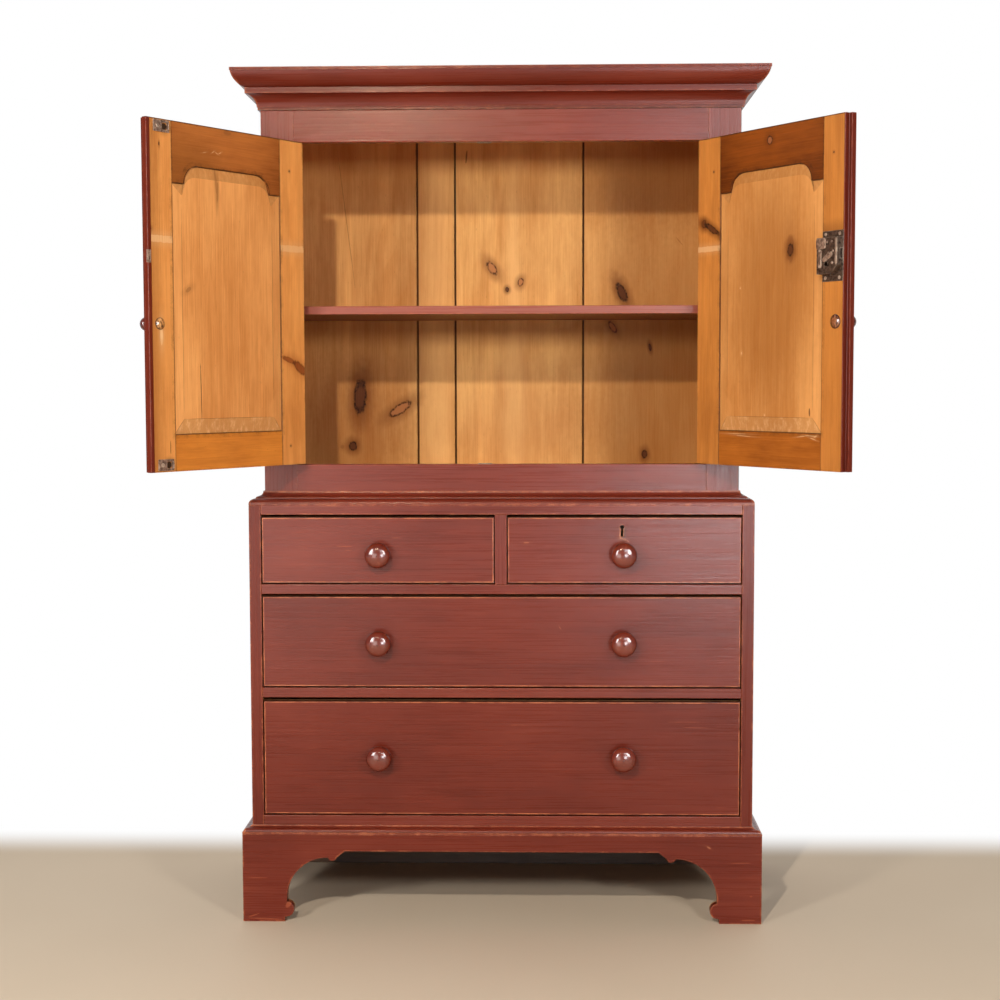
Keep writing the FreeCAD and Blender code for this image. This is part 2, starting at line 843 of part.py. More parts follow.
def door_panel(name, hand):
    """A thin panel whose tongue sits in the frame's groove, thickened inside to a bevelled field."""
    body = document.addObject("PartDesign::Body", name)
    out = -size.panel_groove
    corners = door_outline(out, out, out, size.door_shoulder)
    tongue = outline(body, f"{name}_tongue", "XZ_Plane", corners)
    pad = body.newObject("PartDesign::Pad", f"{name}_pad")
    pad.Profile = tongue
    pad.Reversed = True
    bind(pad, "Length", size.panel_tongue)
    depth = size.door_thick - size.panel_face_inset - size.panel_field_inset
    ease = size.panel_ease
    wide = outline(body, f"{name}_wide", "XZ_Plane", door_outline(ease, ease, ease, size.door_shoulder))
    bind(wide, "AttachmentOffset.Base.z", -size.panel_tongue)
    corners = door_outline(size.bevel_side, size.bevel_foot, size.bevel_head, size.bevel_shoulder)
    narrow = outline(body, f"{name}_field", "XZ_Plane", corners)
    bind(narrow, "AttachmentOffset.Base.z", -depth)
    loft = body.newObject("PartDesign::AdditiveLoft", f"{name}_loft")
    loft.Profile = wide
    loft.Sections = [narrow]
    loft.Ruled = True
    low = along(hand, rail_start - size.panel_groove, rail_end + size.panel_groove)[0]
    return place(body, low, door_face + size.panel_face_inset, door_low)


def arched_rail(name, hand):
    """The top rail of a door, cut to a shouldered arch underneath, with a tenon into each stile."""
    width = rail_end - rail_start
    drop = size.door_top_rail - size.door_arch
    turn = size.door_shoulder
    end = turn + size.door_arch
    body = padded(name, "XZ_Plane", [
        (0, 0),
        (turn, 0),
        (end, size.door_arch, ("u", end)),
        (width - end, size.door_arch),
        (width - turn, 0, ("v", 0)),
        (width, 0),
        (width, drop + size.door_arch),
        (0, drop + size.door_arch),
    ], size.door_thick, reverse=True)
    low = along(hand, rail_start, rail_end)[0]
    return place(body, low, door_face, door_high - size.door_top_rail)


def knob(name, kind, shank, through):
    """A turned knob: a round shank that goes through the wood, a waisted neck and a domed head. Its kind
    is the first part of the names of its sizes."""
    def measure(part):
        return getattr(size, f"{kind}_{part}")

    brim = measure("width") / 2
    brim_at = through + measure("brim_reach")
    neck = measure("neck") / 2
    foot = measure("foot") / 2
    foot_at = through + measure("foot_height")
    neck_at = through + measure("neck_reach")
    return turned(name, [
        (0, 0),
        (shank / 2, 0),
        (shank / 2, through),
        (foot, through),
        (foot, foot_at),
        (neck, neck_at, ("v", neck_at)),
        (brim, brim_at, ("u", neck)),
        (measure("crown") / 2, through + measure("crown_reach"), ("v", brim_at)),
        (0, through + measure("reach"), ("u", 0)),
    ])


def hinge_leaf(name, hand, knuckles, centre, across):
    """One leaf of a butt hinge: a flat plate with the barrel knuckles that are its own."""
    low = centre - size.hinge_height / 2
    step = size.hinge_height / KNUCKLES
    plate = box(
        f"{name}_plate",
        along(hand, *across),
        (size.hinge_proud + size.hinge_play / 2, size.hinge_proud + size.hinge_leaf_width),
        (low, low + size.hinge_height),
    )
    pieces = [plate]
    for index in knuckles:
        start = low + step * index + size.hinge_play / 2
        barrel = rod(
            f"{name}_barrel_{index}", size.hinge_barrel / 2, zero, zero, start, step - size.hinge_play
        )
        over = size.cut_over
        hole_radius = size.hinge_pin / 2 + size.hinge_fit
        hole = rod(f"{name}_hole_{index}", hole_radius, zero, zero, start - over, step + over)
        pieces.append(cut(f"{name}_knuckle_{index}", barrel, hole))
        root = (size.hinge_pin / 2 + size.hinge_play, size.hinge_proud + size.hinge_play)
        pieces.append(
            box(
                f"{name}_root_{index}",
                along(hand, *across),
                root,
                (start, start + step - size.hinge_play),
            ),
        )
    return fuse(name, *pieces)


def hinge_centres():
    return (door_low + size.hinge_inset, door_high - size.hinge_inset)


def door_frame(label, hand):
    """The stiles, rails and panel of one door, drawn shut, and the place and turn that open it."""
    panel = door_panel(f"{label}_panel", hand)
    face = (door_face, door_inner)
    head = arched_rail(f"{label}_head", hand)
    foot_high = door_low + size.door_foot_rail
    foot = box(f"{label}_foot", along(hand, rail_start, rail_end), face, (door_low, foot_high))
    middle = door_face + size.panel_face_inset
    tenon_y = (middle, middle + size.door_tenon_thick)
    tenon_x = along(hand, rail_start - size.door_tenon, rail_end + size.door_tenon)
    shoulder = size.panel_groove * 2
    head_tenon = box(
        f"{label}_head_tenon", tenon_x, tenon_y, (
            door_high - size.door_top_rail + shoulder + size.door_arch, door_high - shoulder
        )
    )
    foot_tenon = box(f"{label}_foot_tenon", tenon_x, tenon_y, (door_low + shoulder, foot_high - shoulder))
    tall = (door_low, door_high)
    hinge_stile = box(f"{label}_hinge_stile", along(hand, door_edge, rail_start), face, tall)
    half = door_face + size.door_thick / 2
    meeting = box(f"{label}_meeting_stile", along(hand, rail_end, lap_reach), face, tall)
    # The left door keeps its inner half at the meeting edge, and the right door its outer half.
    over = size.cut_over
    rebate_y = (door_face - over, half) if hand > 0 else (half, door_inner + over)
    rebate = box(
        f"{label}_rebate",
        along(hand, short_reach, lap_reach + over),
        rebate_y,
        (door_low - over, door_high + over),
    )
    knob_x = lap_reach - size.door_knob_inset
    knob_z = opening_low + size.door_knob_height
    shank_hole = bore(
        f"{label}_shank_hole",
        size.door_shank / 2 + size.hinge_fit,
        knob_x * hand,
        door_face - over,
        knob_z,
        size.door_thick + over * 2,
    )
    pieces = {
        "panel": [panel],
        "top_rail": [cut(f"{label}_head_cut", fuse(f"{label}_head_joined", head, head_tenon), panel)],
        "bottom_rail": [cut(f"{label}_foot_cut", fuse(f"{label}_foot_joined", foot, foot_tenon), panel)],
        "stiles": [
            cut(f"{label}_hinge_stile_cut", hinge_stile, panel, head_tenon, foot_tenon),
            [meeting, panel, head_tenon, foot_tenon, rebate, shank_hole],
        ],
    }
    through = size.door_thick + size.shank_proud
    turned_knob = knob(f"{label}_knob", "door_knob", size.door_shank, through)
    place(turned_knob, knob_x * hand, door_inner + size.shank_proud, knob_z, as_size(180))
    pieces["knob"] = [turned_knob]
    leaf = (door_edge - size.hinge_leaf, door_edge)
    pieces["hinge_leaves"] = [
        hinge_leaf(f"{label}_leaf_{index}", hand, (1, 3), centre, leaf) for index, centre in enumerate(
            hinge_centres()
        )
    ]
    return pieces


def doors():
    lock_z = opening_low + size.lock_rise
    for label, hand in (("left_door", 1), ("right_door", -1)):
        pieces = door_frame(label, hand)
        where = {"x": -pin_side * hand, "y": pin_front, "turn": -size.door_angle * hand}
        meeting = pieces["stiles"].pop()
        if hand > 0:
            extra = left_door_furniture(lock_z)
            meeting.append(extra["keep_bed"])
        else:
            extra = right_door_furniture(lock_z)
            meeting.append(extra["keyhole"])
        pieces["stiles"].append(cut(f"{label}_meeting_stile_cut", *meeting))
        for name, solids in pieces.items():
            node(f"{label}_{name}", *solids, **where)
        for name, solids in extra["nodes"].items():
            node(name, *solids, **where)
    fixed = []
    pins = []
    for label, hand in (("left", 1), ("right", -1)):
        leaf = (-door_edge, size.hinge_leaf - door_edge)
        for index, centre in enumerate(hinge_centres()):
            piece = hinge_leaf(f"{label}_frame_leaf_{index}", hand, (0, 2, 4), centre, leaf)
            fixed.append(place(piece, -pin_side * hand, pin_front, zero))
            low = centre - size.hinge_height / 2
            pins.append(
                rod(
                    f"{label}_pin_{index}",
                    size.hinge_pin / 2,
                    -pin_side * hand,
                    pin_front,
                    low,
                    size.hinge_height,
                ),
            )
    node("hinge_frame_leaves", *fixed)
    node("hinge_pins", *pins)


def catch_place(end):
    """The low and high edge of a catch plate at the top or the foot of the left door."""
    if end == "top":
        return (door_high - size.catch_edge - size.catch_height, door_high - size.catch_edge)
    return (door_low + size.catch_edge, door_low + size.catch_edge + size.catch_height)


def left_door_furniture(lock_z):
    """The two catch plates and the lock's keep on the inside of the left door."""
    plates = []
    high_x = lap_reach - size.catch_inset
    low_x = high_x - size.catch_width
    face = door_inner + size.catch_thick
    for end in ("top", "foot"):
        low, high = catch_place(end)
        plate = box(f"catch_{end}_plate", (low_x, high_x), (door_inner, face), (low, high))
        window_low = low_x + size.catch_window_inset
        window_x = (window_low, window_low + size.catch_window)
        rim = size.catch_rim
        window = box(
            f"catch_{end}_window",
            window_x,
            (door_inner - size.cut_over, face + size.cut_over),
            (low + rim, high - rim),
        )
        tab_x = (window_x[0] - size.catch_thick, window_x[0])
        tab = box(f"catch_{end}_tab", tab_x, (door_inner, face + size.catch_tab), (low + rim, high - rim))
        plates.append(fuse(f"catch_{end}", cut(f"catch_{end}_punched", plate, window), tab))
    bolt_z = lock_z + size.bolt_raise
    tall = (bolt_z - size.keep_height / 2, bolt_z + size.keep_height / 2)
    face = box(
        "keep_face",
        (lap_reach - size.keep_width, lap_reach),
        (door_inner - size.keep_thick, door_inner),
        tall,
    )
    edge = box(
        "keep_edge",
        (lap_reach - size.keep_thick, lap_reach),
        (door_inner - size.keep_width / 2, door_inner),
        tall,
    )
    keep = fuse("keep", face, edge)
    return {"keep_bed": keep, "nodes": {"left_door_catch_plates": plates, "door_lock_keep": [keep]}}


def right_door_furniture(lock_z):
    """The rim lock on the inside of the right door: its plate, its case and its bolt."""
    low_x, high_x = along(-1, short_reach - size.lock_width, short_reach)
    half = size.lock_plate_height / 2
    face = door_inner + size.lock_wall
    plate = box("lock_plate", (low_x, high_x), (door_inner, face), (lock_z - half, lock_z + half))
    case_low = lock_z - size.lock_case_height / 2
    width = size.lock_width
    height = size.lock_case_height
    corner = size.lock_corner
    shell = padded("lock_shell", "XZ_Plane", [
        (corner, 0),
        (width, 0),
        (width, height),
        (0, height),
        (0, corner),
    ], size.lock_case_depth, reverse=True)
    place(shell, low_x, face, case_low)
    wall = size.lock_wall
    room = box(
        "lock_room",
        (low_x + wall, high_x - wall),
        (face - size.cut_over, face + size.lock_case_depth - wall),
        (case_low + corner, case_low + height - wall),
    )
    over = size.cut_over
    play = size.bolt_play
    bolt_low = lock_z + size.bolt_raise - size.bolt_height / 2
    bolt_high = bolt_low + size.bolt_height
    bolt_y = (face + play, face + play + size.bolt_thick)
    mouth = box(
        "lock_mouth", (low_x - over, low_x + wall + over), (face - over, bolt_y[1] + play), (
            bolt_low - play, bolt_high + play
        )
    )
    key_x = low_x + size.lock_key_inset
    key_z = bolt_low - size.keyhole_round
    key = bore("lock_key", size.keyhole_round / 2, key_x, face, key_z, size.lock_case_depth + over)
    case = cut("lock_case", shell, room, mouth, key)
    bolt = box(
        "lock_bolt", (low_x + play, low_x + play + size.bolt_length), bolt_y, (bolt_low, bolt_high)
    )
    keyhole = keyhole_tool("door_keyhole", key_x, door_face - over, key_z, size.door_thick + over * 2)
    plate_hole = keyhole_tool("plate_keyhole", key_x, door_inner - over, key_z, size.lock_wall + over * 2)
    return {
        "keyhole": keyhole,
        "nodes": {
            "door_lock_plate": [cut("lock_plate_cut", plate, plate_hole)],
            "door_lock_case": [case],
            "door_lock_bolt": [bolt],
        },
    }


def keyhole_tool(name, x, y, z, length):
    """The space of a keyhole: a round hole with a slot below it, running back from a point."""
    hole = bore(f"{name}_round", size.keyhole_round / 2, x, y, z, length)
    half = size.keyhole_slot / 2
    slot = box(f"{name}_slot", (x - half, x + half), (y, y + length), (z - size.keyhole_drop, z))
    return fuse(name, hole, slot)


def catch_strikes():
    """Flat plates under the frieze and on the base rail, where the left door's catches bear."""
    middle = lap_reach - size.catch_inset - size.catch_width / 2 - pin_side
    across = (middle - size.strike_width / 2, middle + size.strike_width / 2)
    deep = (frame_back - size.strike_depth, frame_back)
    top = box("strike_top", across, deep, (opening_high - size.strike_thick, opening_high))
    foot = box("strike_foot", across, deep, (opening_low, opening_low + size.strike_thick))
    node("catch_strikes", top, foot)


# Drawers
def drawer_lock_front():
    """The front of the bolt of the drawer lock, which stands on the back of the drawer front."""
    return chest_front + size.drawer_recess + size.drawer_front_thick + size.lock_wall


def tails(name, across, front, low, high):
    """The dovetails at the end of a drawer side, which widen towards the face of the drawer front."""
    step = (high - low) / TAILS
    pieces = []
    for index in range(TAILS):
        centre = low + step * (index + 0.5)
        tail = document.addObject("Part::Wedge", f"{name}_{index}")
        for prop, value in (
            ("Xmin", across[0]),
            ("X2min", across[0]),
            ("Xmax", across[1]),
            ("X2max", across[1]),
            ("Ymin", front + size.tail_lap),
            ("Ymax", front + size.drawer_front_thick),
            ("Zmin", centre - step * TAIL_END / 2),
            ("Zmax", centre + step * TAIL_END / 2),
            ("Z2min", centre - step * TAIL_NECK / 2),
            ("Z2max", centre + step * TAIL_NECK / 2),
        ):
            bind(tail, prop, value)
        pieces.append(tail)
    return pieces


def drawer(label, left, right, low, high, top_gap, knob_rise, knob_places, keyhole=None):
    """One drawer: a front with its knobs, and a dovetailed box of two sides, a back and a bottom."""
    left = left + size.drawer_side_gap
    right = right - size.drawer_side_gap
    front = chest_front + size.drawer_recess
    inner = front + size.drawer_front_thick
    end = carcass_back - size.drawer_back_room
    top = high - top_gap
    side_top = top - size.drawer_side_drop
    wall = size.drawer_side_thick
    panel_low = low + size.drawer_bottom_rise
    panel_high = panel_low + size.drawer_bottom_thick
    panel = box(
        f"{label}_bottom",
        (left + wall - size.drawer_groove, right - wall + size.drawer_groove),
        (inner - size.drawer_groove, end),
        (panel_low, panel_high),
    )
    sides = []
    sockets = []
    for hand, across in (("left", (left, left + wall)), ("right", (right - wall, right))):
        board = box(f"{label}_{hand}_side", across, (inner, end), (low, side_top))
        fan = tails(f"{label}_{hand}_tail", across, front, low + size.drawer_foot_gap, side_top)
        sockets += fan
        sides.append(
            cut(f"{label}_{hand}_side_cut", fuse(f"{label}_{hand}_side_tails", board, *fan), panel)
        )
    back = box(
        f"{label}_back", (left + wall, right - wall), (end - wall, end), (
            panel_high, side_top - size.drawer_back_drop
        )
    )
    knob_z = low + knob_rise
    shank = size.drawer_front_thick + size.drawer_recess
    knobs = []
    holes = []
    for index, x in enumerate(knob_places):
        piece = knob(f"{label}_knob_{index}", "knob", size.knob_shank, shank)
        knobs.append(place(piece, x, front + shank, knob_z, as_size(180)))
        holes.append(
            bore(
                f"{label}_knob_hole_{index}",
                size.knob_shank / 2 + size.hinge_fit,
                x,
                front - size.cut_over,
                knob_z,
                shank + size.cut_over * 2,
            ),
        )
    if keyhole is not None:
        key_z = low + size.drawer_keyhole_rise
        over = size.cut_over
        holes.append(keyhole_tool(f"{label}_keyhole", keyhole, front - over, key_z, shank + over * 2))
    slab = box(f"{label}_slab", (left, right), (front, inner), (low + size.drawer_foot_gap, top))
    node(f"{label}_front", cut(f"{label}_front_cut", slab, *sockets, panel, *holes))
    node(f"{label}_box", *sides, back, panel)
    node(f"{label}_knobs", *knobs)


def drawer_lock(x, low, top):
    """The lock on the back of a drawer front, whose bolt rises into the rail above."""
    inner = chest_front + size.drawer_recess + size.drawer_front_thick
    half = size.drawer_lock_width / 2
    wall = size.lock_wall
    tall = (top - size.drawer_lock_height, top)
    shell = box("drawer_lock_shell", (x - half, x + half), (inner, inner + size.drawer_lock_depth), tall)
    play = size.bolt_play
    bolt_half = size.drawer_bolt_width / 2
    bolt_front = drawer_lock_front()
    bolt_y = (bolt_front, bolt_front + size.drawer_bolt_thick)
    room = box(
        "drawer_lock_room",
        (x - bolt_half - play, x + bolt_half + play),
        (bolt_y[0] - play, bolt_y[1] + play),
        (tall[0] + wall, top + size.cut_over),
    )
    key_z = low + size.drawer_keyhole_rise
    over = size.cut_over
    key = keyhole_tool("drawer_lock_key", x, inner - over, key_z, wall + over)
    node("drawer_lock_case", cut("drawer_lock_case_cut", shell, room, key))
    bolt_high = top - play
    node(
        "drawer_lock_bolt",
        box(
            "drawer_lock_bolt_bar",
            (x - bolt_half, x + bolt_half),
            bolt_y,
            (bolt_high - size.drawer_bolt_length, bolt_high),
        ),
    )


def drawers():
    half = size.divider_width / 2
    spread = size.knob_spacing
    pair = (-spread, spread)
    keyhole = size.drawer_keyhole_side
    short = (upper_rail_top, short_opening_top, size.short_top_gap, size.short_knob_rise)
    middle = (lower_rail_top, middle_opening_top, size.middle_top_gap, size.middle_knob_rise)
    bottom = (bottom_rail_top, bottom_opening_top, size.bottom_top_gap, size.bottom_knob_rise)
    drawer("left_short_drawer", -chest_inside, -half, *short, (-spread,))
    drawer("right_short_drawer", half, chest_inside, *short, (spread,), keyhole)
    drawer("middle_drawer", -chest_inside, chest_inside, *middle, pair)
    drawer("bottom_drawer", -chest_inside, chest_inside, *bottom, pair)
    drawer_lock(keyhole, upper_rail_top, short_opening_top - size.short_top_gap)


chest()
plinth()
cupboard()
doors()
catch_strikes()
drawers()
document.recompute()

# Nothing is written unless every piece came out whole
faults = [
    piece.Name for piece in document.Objects if {"Invalid", "Error"} & set(piece.State)
]
faults += [label for label, piece in nodes.items() if piece.Shape.isNull() or not piece.Shape.Solids]
faults += [
    label for label, piece in nodes.items() if not piece.Shape.isNull() and not piece.Shape.isValid()
]
if faults:
    raise RuntimeError("these pieces failed: " + ", ".join(sorted(set(faults))))
os.makedirs("parts", exist_ok=True)
for label, piece in nodes.items():
    piece.Shape.exportStep(f"parts/{label}.step")
    print(f"{label}: {len(piece.Shape.Solids)} solids, {piece.Shape.Volume / 1000:.1f} cubic cm")
print(len(nodes), "nodes")
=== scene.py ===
# %% [markdown]
# # A painted linen press
# The press is an upper cupboard with two panelled doors on a chest of four drawers. Its true shapes come
# from CAD, packed as a fixed frame. They could be modelled again here, but the frame also carries the
# joints, so this script keeps it and adds what CAD has no words for: paint, wax, iron, wear and light.

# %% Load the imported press
import math

import bmesh
import bpy
import numpy as np
from mathutils import Matrix, Vector


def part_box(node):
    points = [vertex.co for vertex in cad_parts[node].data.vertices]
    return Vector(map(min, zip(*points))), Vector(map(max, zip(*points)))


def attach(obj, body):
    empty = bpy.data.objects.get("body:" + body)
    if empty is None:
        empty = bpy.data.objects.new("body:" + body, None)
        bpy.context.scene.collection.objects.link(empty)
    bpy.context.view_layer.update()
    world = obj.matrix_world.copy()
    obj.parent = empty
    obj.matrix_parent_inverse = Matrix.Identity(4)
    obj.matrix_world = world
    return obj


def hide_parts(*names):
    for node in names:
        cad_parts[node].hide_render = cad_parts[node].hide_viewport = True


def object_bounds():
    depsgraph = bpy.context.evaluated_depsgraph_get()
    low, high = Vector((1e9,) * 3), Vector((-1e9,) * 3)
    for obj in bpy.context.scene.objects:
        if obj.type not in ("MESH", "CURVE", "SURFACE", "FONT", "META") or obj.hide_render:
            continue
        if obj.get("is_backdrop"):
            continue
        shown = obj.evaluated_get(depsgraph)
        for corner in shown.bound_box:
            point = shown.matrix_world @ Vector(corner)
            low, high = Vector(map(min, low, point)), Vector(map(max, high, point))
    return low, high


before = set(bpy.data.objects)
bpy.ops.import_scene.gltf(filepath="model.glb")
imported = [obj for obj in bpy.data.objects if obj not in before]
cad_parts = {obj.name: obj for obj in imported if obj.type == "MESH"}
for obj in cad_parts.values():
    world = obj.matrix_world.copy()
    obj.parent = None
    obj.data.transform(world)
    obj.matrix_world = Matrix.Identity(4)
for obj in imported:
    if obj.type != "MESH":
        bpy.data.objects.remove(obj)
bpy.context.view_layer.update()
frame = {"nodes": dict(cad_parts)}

press, scene = frame["nodes"], bpy.context.scene


def put(name, data):
    """A new object, linked into the scene."""
    made = bpy.data.objects.new(name, data)
    scene.collection.objects.link(made)
    return made


# %% [markdown]
# ## The camera
# The photograph was taken with a longish lens, from a little right of the middle and at chest height,
# tilted down by four degrees. A camera could be aimed by eye, but a fit to the straight edges of the press
# gave these numbers to about a pixel, so they are used as they are.

# %% Place the camera
LENS, SENSOR = 60.18, 36.0
EYE = Vector((0.08932, -3.95458, 1.149))
SWING, TILT, ROLL = math.radians(1.48), math.radians(90 - 4.02), math.radians(-0.13)

camera = put("camera", bpy.data.cameras.new("camera"))
camera.data.lens, camera.data.sensor_width = LENS, SENSOR
camera.matrix_world = (
    Matrix.Translation(EYE)
    @ Matrix.Rotation(SWING, 4, "Z")
    @ Matrix.Rotation(TILT, 4, "X")
    @ Matrix.Rotation(ROLL, 4, "Z")
)
scene.camera = camera
scene.view_settings.view_transform = "Standard"
print("camera at", EYE[:], "lens", LENS)

# %% [markdown]
# ## A short way to write shader nodes
# A finish is a drawing of nodes. They could be wired one by one, which takes pages, so this small class
# adds a node, fills its inputs in order and hands back its output. Each effect that several finishes
# share becomes a node group with named inputs and outputs.

# %% Tools for shader trees
def tint(red, green, blue):
    """A colour as picked on a screen, from 0 to 255, turned into the linear light that shaders use."""
    screen = np.array((red, green, blue)) / 255
    light = np.where(screen <= 0.04045, screen / 12.92, ((screen + 0.055) / 1.055) ** 2.4)
    return (*light.tolist(), 1.0)


class Drawing:
    """A shader tree under construction."""

    def __init__(self, tree):
        self.tree = tree

    def join(self, value, socket):
        if isinstance(value, bpy.types.NodeSocket):
            self.tree.links.new(value, socket)
        elif value is not None:
            socket.default_value = value

    def give(self, sockets, **values):
        for name, value in values.items():
            self.join(value, sockets[name.replace("_", " ").title()])

    def add(self, kind, *values, **settings):
        made = self.tree.nodes.new("ShaderNode" + kind)
        for name, value in settings.items():
            setattr(made, name, value)
        for socket, value in zip(made.inputs, values):
            self.join(value, socket)
        return made

    def math(self, operation, *values):
        return self.add("Math", *values, operation=operation).outputs[0]

    def times(self, a, b):
        return self.math("MULTIPLY", a, b)

    def vector(self, operation, *values):
        return self.add("VectorMath", *values, operation=operation).outputs[0]

    def length(self, value):
        return self.add("VectorMath", value, operation="LENGTH").outputs["Value"]

    def split(self, value):
        return self.add("SeparateXYZ", value).outputs

    def place(self, value, location=(0, 0, 0), turn=(0, 0, 0), scale=(1, 1, 1), back=False):
        """Moves a place with a Mapping node. With back, it undoes that move instead."""
        kind = "TEXTURE" if back else "POINT"
        return self.add("Mapping", value, location, turn, scale, vector_type=kind).outputs[0]

    def noise(self, value, stretch=(1, 1, 1), detail=2.0, rough=0.5):
        made = self.add("TexNoise", self.place(value, scale=stretch))
        self.give(made.inputs, scale=1.0, detail=detail, roughness=rough)
        return made.outputs[0]

    def ease(self, value, low, high, start=0.0, end=1.0):
        """From start to end, smoothly, while the value goes from low to high."""
        made = self.add("MapRange", value, low, high, start, end, interpolation_type="SMOOTHSTEP")
        return made.outputs[0]

    def mix(self, share, under, over, kind="MIX"):
        made = self.add("Mix", share, data_type="RGBA", blend_type=kind)
        self.join(under, made.inputs[6])
        self.join(over, made.inputs[7])
        return made.outputs[2]

    def relief(self, height, strength, depth, shader):
        """Raises the shader's surface by a height that changes over it."""
        made = self.add("Bump")
        self.give(made.inputs, strength=strength, distance=depth, height=height)
        self.join(made.outputs[0], shader.inputs["Normal"])

    def use(self, group, **values):
        made = self.add("Group", node_tree=group)
        self.give(made.inputs, **values)
        return made.outputs


def new_group(name, inputs, outputs):
    """An empty node group that is given a place: its drawing, that place, its inputs and its outputs."""
    tree = bpy.data.node_groups.new(name, "ShaderNodeTree")
    for label, kind, value in (("Place", "Vector", (0, 0, 0)), *inputs):
        socket = tree.interface.new_socket(label, in_out="INPUT", socket_type="NodeSocket" + kind)
        socket.default_value = value
    for label, kind in outputs:
        tree.interface.new_socket(label, in_out="OUTPUT", socket_type="NodeSocket" + kind)
    ways_in, ways_out = tree.nodes.new("NodeGroupInput"), tree.nodes.new("NodeGroupOutput")
    return tree, Drawing(tree), ways_in.outputs["Place"], ways_in.outputs, ways_out.inputs


def new_material(name):
    """A material with its drawing and its Principled shader."""
    made = bpy.data.materials.new(name)
    made.use_nodes = True
    return made, Drawing(made.node_tree), made.node_tree.nodes["Principled BSDF"]


print("shader tools ready")

# %% [markdown]
# ## Studio floor, background and lamps
# The press stands on a plain pale floor that fades to white where a wall would begin. The shadows inside the
# cupboard tell where the real lamps were: a small one high on the left and a soft box on each side. A haze on
# the right of the drawers tells of a pale window there. One set of lamps could both light and shine, but here
# some only light and some only shine, so that the haze is set without touching the colours.

# %% Floor and background
FLOOR_HALF = 7.0
WALL_AT, WALL_SOFT = 0.15, 0.12
NEAR_FLOOR, FAR_FLOOR = 3.0, 5.5
# Strength of the room's light in front of the press and behind it, and how white it looks in a reflection.
ROOM_LIGHT, BACK_LIGHT, LIGHT_BAND = 0.10, 0.75, (-0.1, 0.3)
DIM_GLOSS, BACK_GLOSS, GLOSS_BAND = 0.1, 0.6, (0.25, 0.7)

floor_mesh = bpy.data.meshes.new("floor")
floor_corners = FLOOR_HALF * np.array([(-1, -1, 0), (1, -1, 0), (1, 1, 0), (-1, 1, 0)])
floor_mesh.from_pydata(floor_corners.tolist(), [], [(0, 1, 2, 3)])
floor = put("floor", floor_mesh)
floor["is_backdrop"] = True

floor_paint, draw, shader = new_material("pale_floor")
where = draw.add("TexCoord").outputs["Object"]
tone = draw.noise(where, (1.5, 1.5, 1.5))
draw.give(shader.inputs, base_color=draw.mix(tone, tint(220, 202, 178), tint(211, 191, 165)))
shader.inputs["Roughness"].default_value = 0.7
ray = draw.add("LightPath").outputs
seen = draw.math("MAXIMUM", ray["Is Camera Ray"], ray["Is Glossy Ray"])
seen = draw.math("MAXIMUM", seen, ray["Is Transmission Ray"])
behind = draw.ease(draw.split(where)[1], WALL_AT - WALL_SOFT, WALL_AT + WALL_SOFT)
away = draw.ease(draw.length(where), NEAR_FLOOR, FAR_FLOOR)
fade = draw.times(draw.math("MAXIMUM", behind, away), seen)
white = draw.add("Emission", (1, 1, 1, 1), 1.0)
both = draw.add("MixShader", fade, shader.outputs[0], white.outputs[0])
draw.join(both.outputs[0], draw.tree.nodes["Material Output"].inputs[0])
floor_mesh.materials.append(floor_paint)
print("floor", 2 * FLOOR_HALF, "m wide")

# %% Room light
world = bpy.data.worlds.new("studio")
world.use_nodes = True
scene.world = world
draw = Drawing(world.node_tree)
draw.tree.nodes.clear()
ray = draw.add("LightPath").outputs
facing = draw.split(draw.add("TexCoord").outputs["Generated"])[1]
gloss = draw.ease(facing, *GLOSS_BAND, DIM_GLOSS, BACK_GLOSS)
gloss = draw.times(gloss, draw.math("MAXIMUM", ray["Is Glossy Ray"], ray["Is Transmission Ray"]))
seen = draw.math("MAXIMUM", ray["Is Camera Ray"], gloss)
strength = draw.ease(facing, *LIGHT_BAND, ROOM_LIGHT, BACK_LIGHT)
dim = draw.add("Background", (1, 0.985, 0.96, 1), strength)
bright = draw.add("Background", (1, 1, 1, 1), 1.0)
both = draw.add("MixShader", seen, dim.outputs[0], bright.outputs[0])
draw.join(both.outputs[0], draw.add("OutputWorld").inputs[0])
print("room light", ROOM_LIGHT, "in front,", BACK_LIGHT, "behind")

# %% Lamps
AIM = Vector((0.0, -0.3, 1.05))
LAMPS = {
    "small_lamp": ((-0.54, -3.45, 2.50), 0.09, 0.09, 62, (1.0, 0.95, 0.88), "matte"),
    "small_shine": ((-0.54, -3.45, 2.50), 0.12, 0.12, 30, (1.0, 0.80, 0.56), "gloss"),
    "right_box": ((1.66, -3.40, 1.66), 0.40, 0.34, 37, (1.0, 0.99, 0.97), "matte"),
    "left_box": ((-1.95, -3.20, 1.66), 0.40, 0.34, 41, (1.0, 0.99, 0.97), "matte"),
    "right_card": ((1.78, -3.40, 1.72), 0.95, 1.50, 95, (1.0, 1.0, 1.0), "gloss"),
    "left_card": ((-2.05, -3.20, 1.72), 0.95, 1.50, 95, (1.0, 1.0, 1.0), "gloss"),
    "window": ((0.84, -3.60, 0.70), 0.58, 0.60, 23, (0.92, 0.96, 1.0), "gloss"),
    "window_head": ((0.84, -3.70, 2.02), 0.80, 0.70, 14, (0.88, 0.94, 1.0), "gloss"),
    "wall_glow": ((-1.15, -3.70, 0.62), 1.20, 1.10, 15, (1.0, 0.96, 0.90), "gloss"),
}
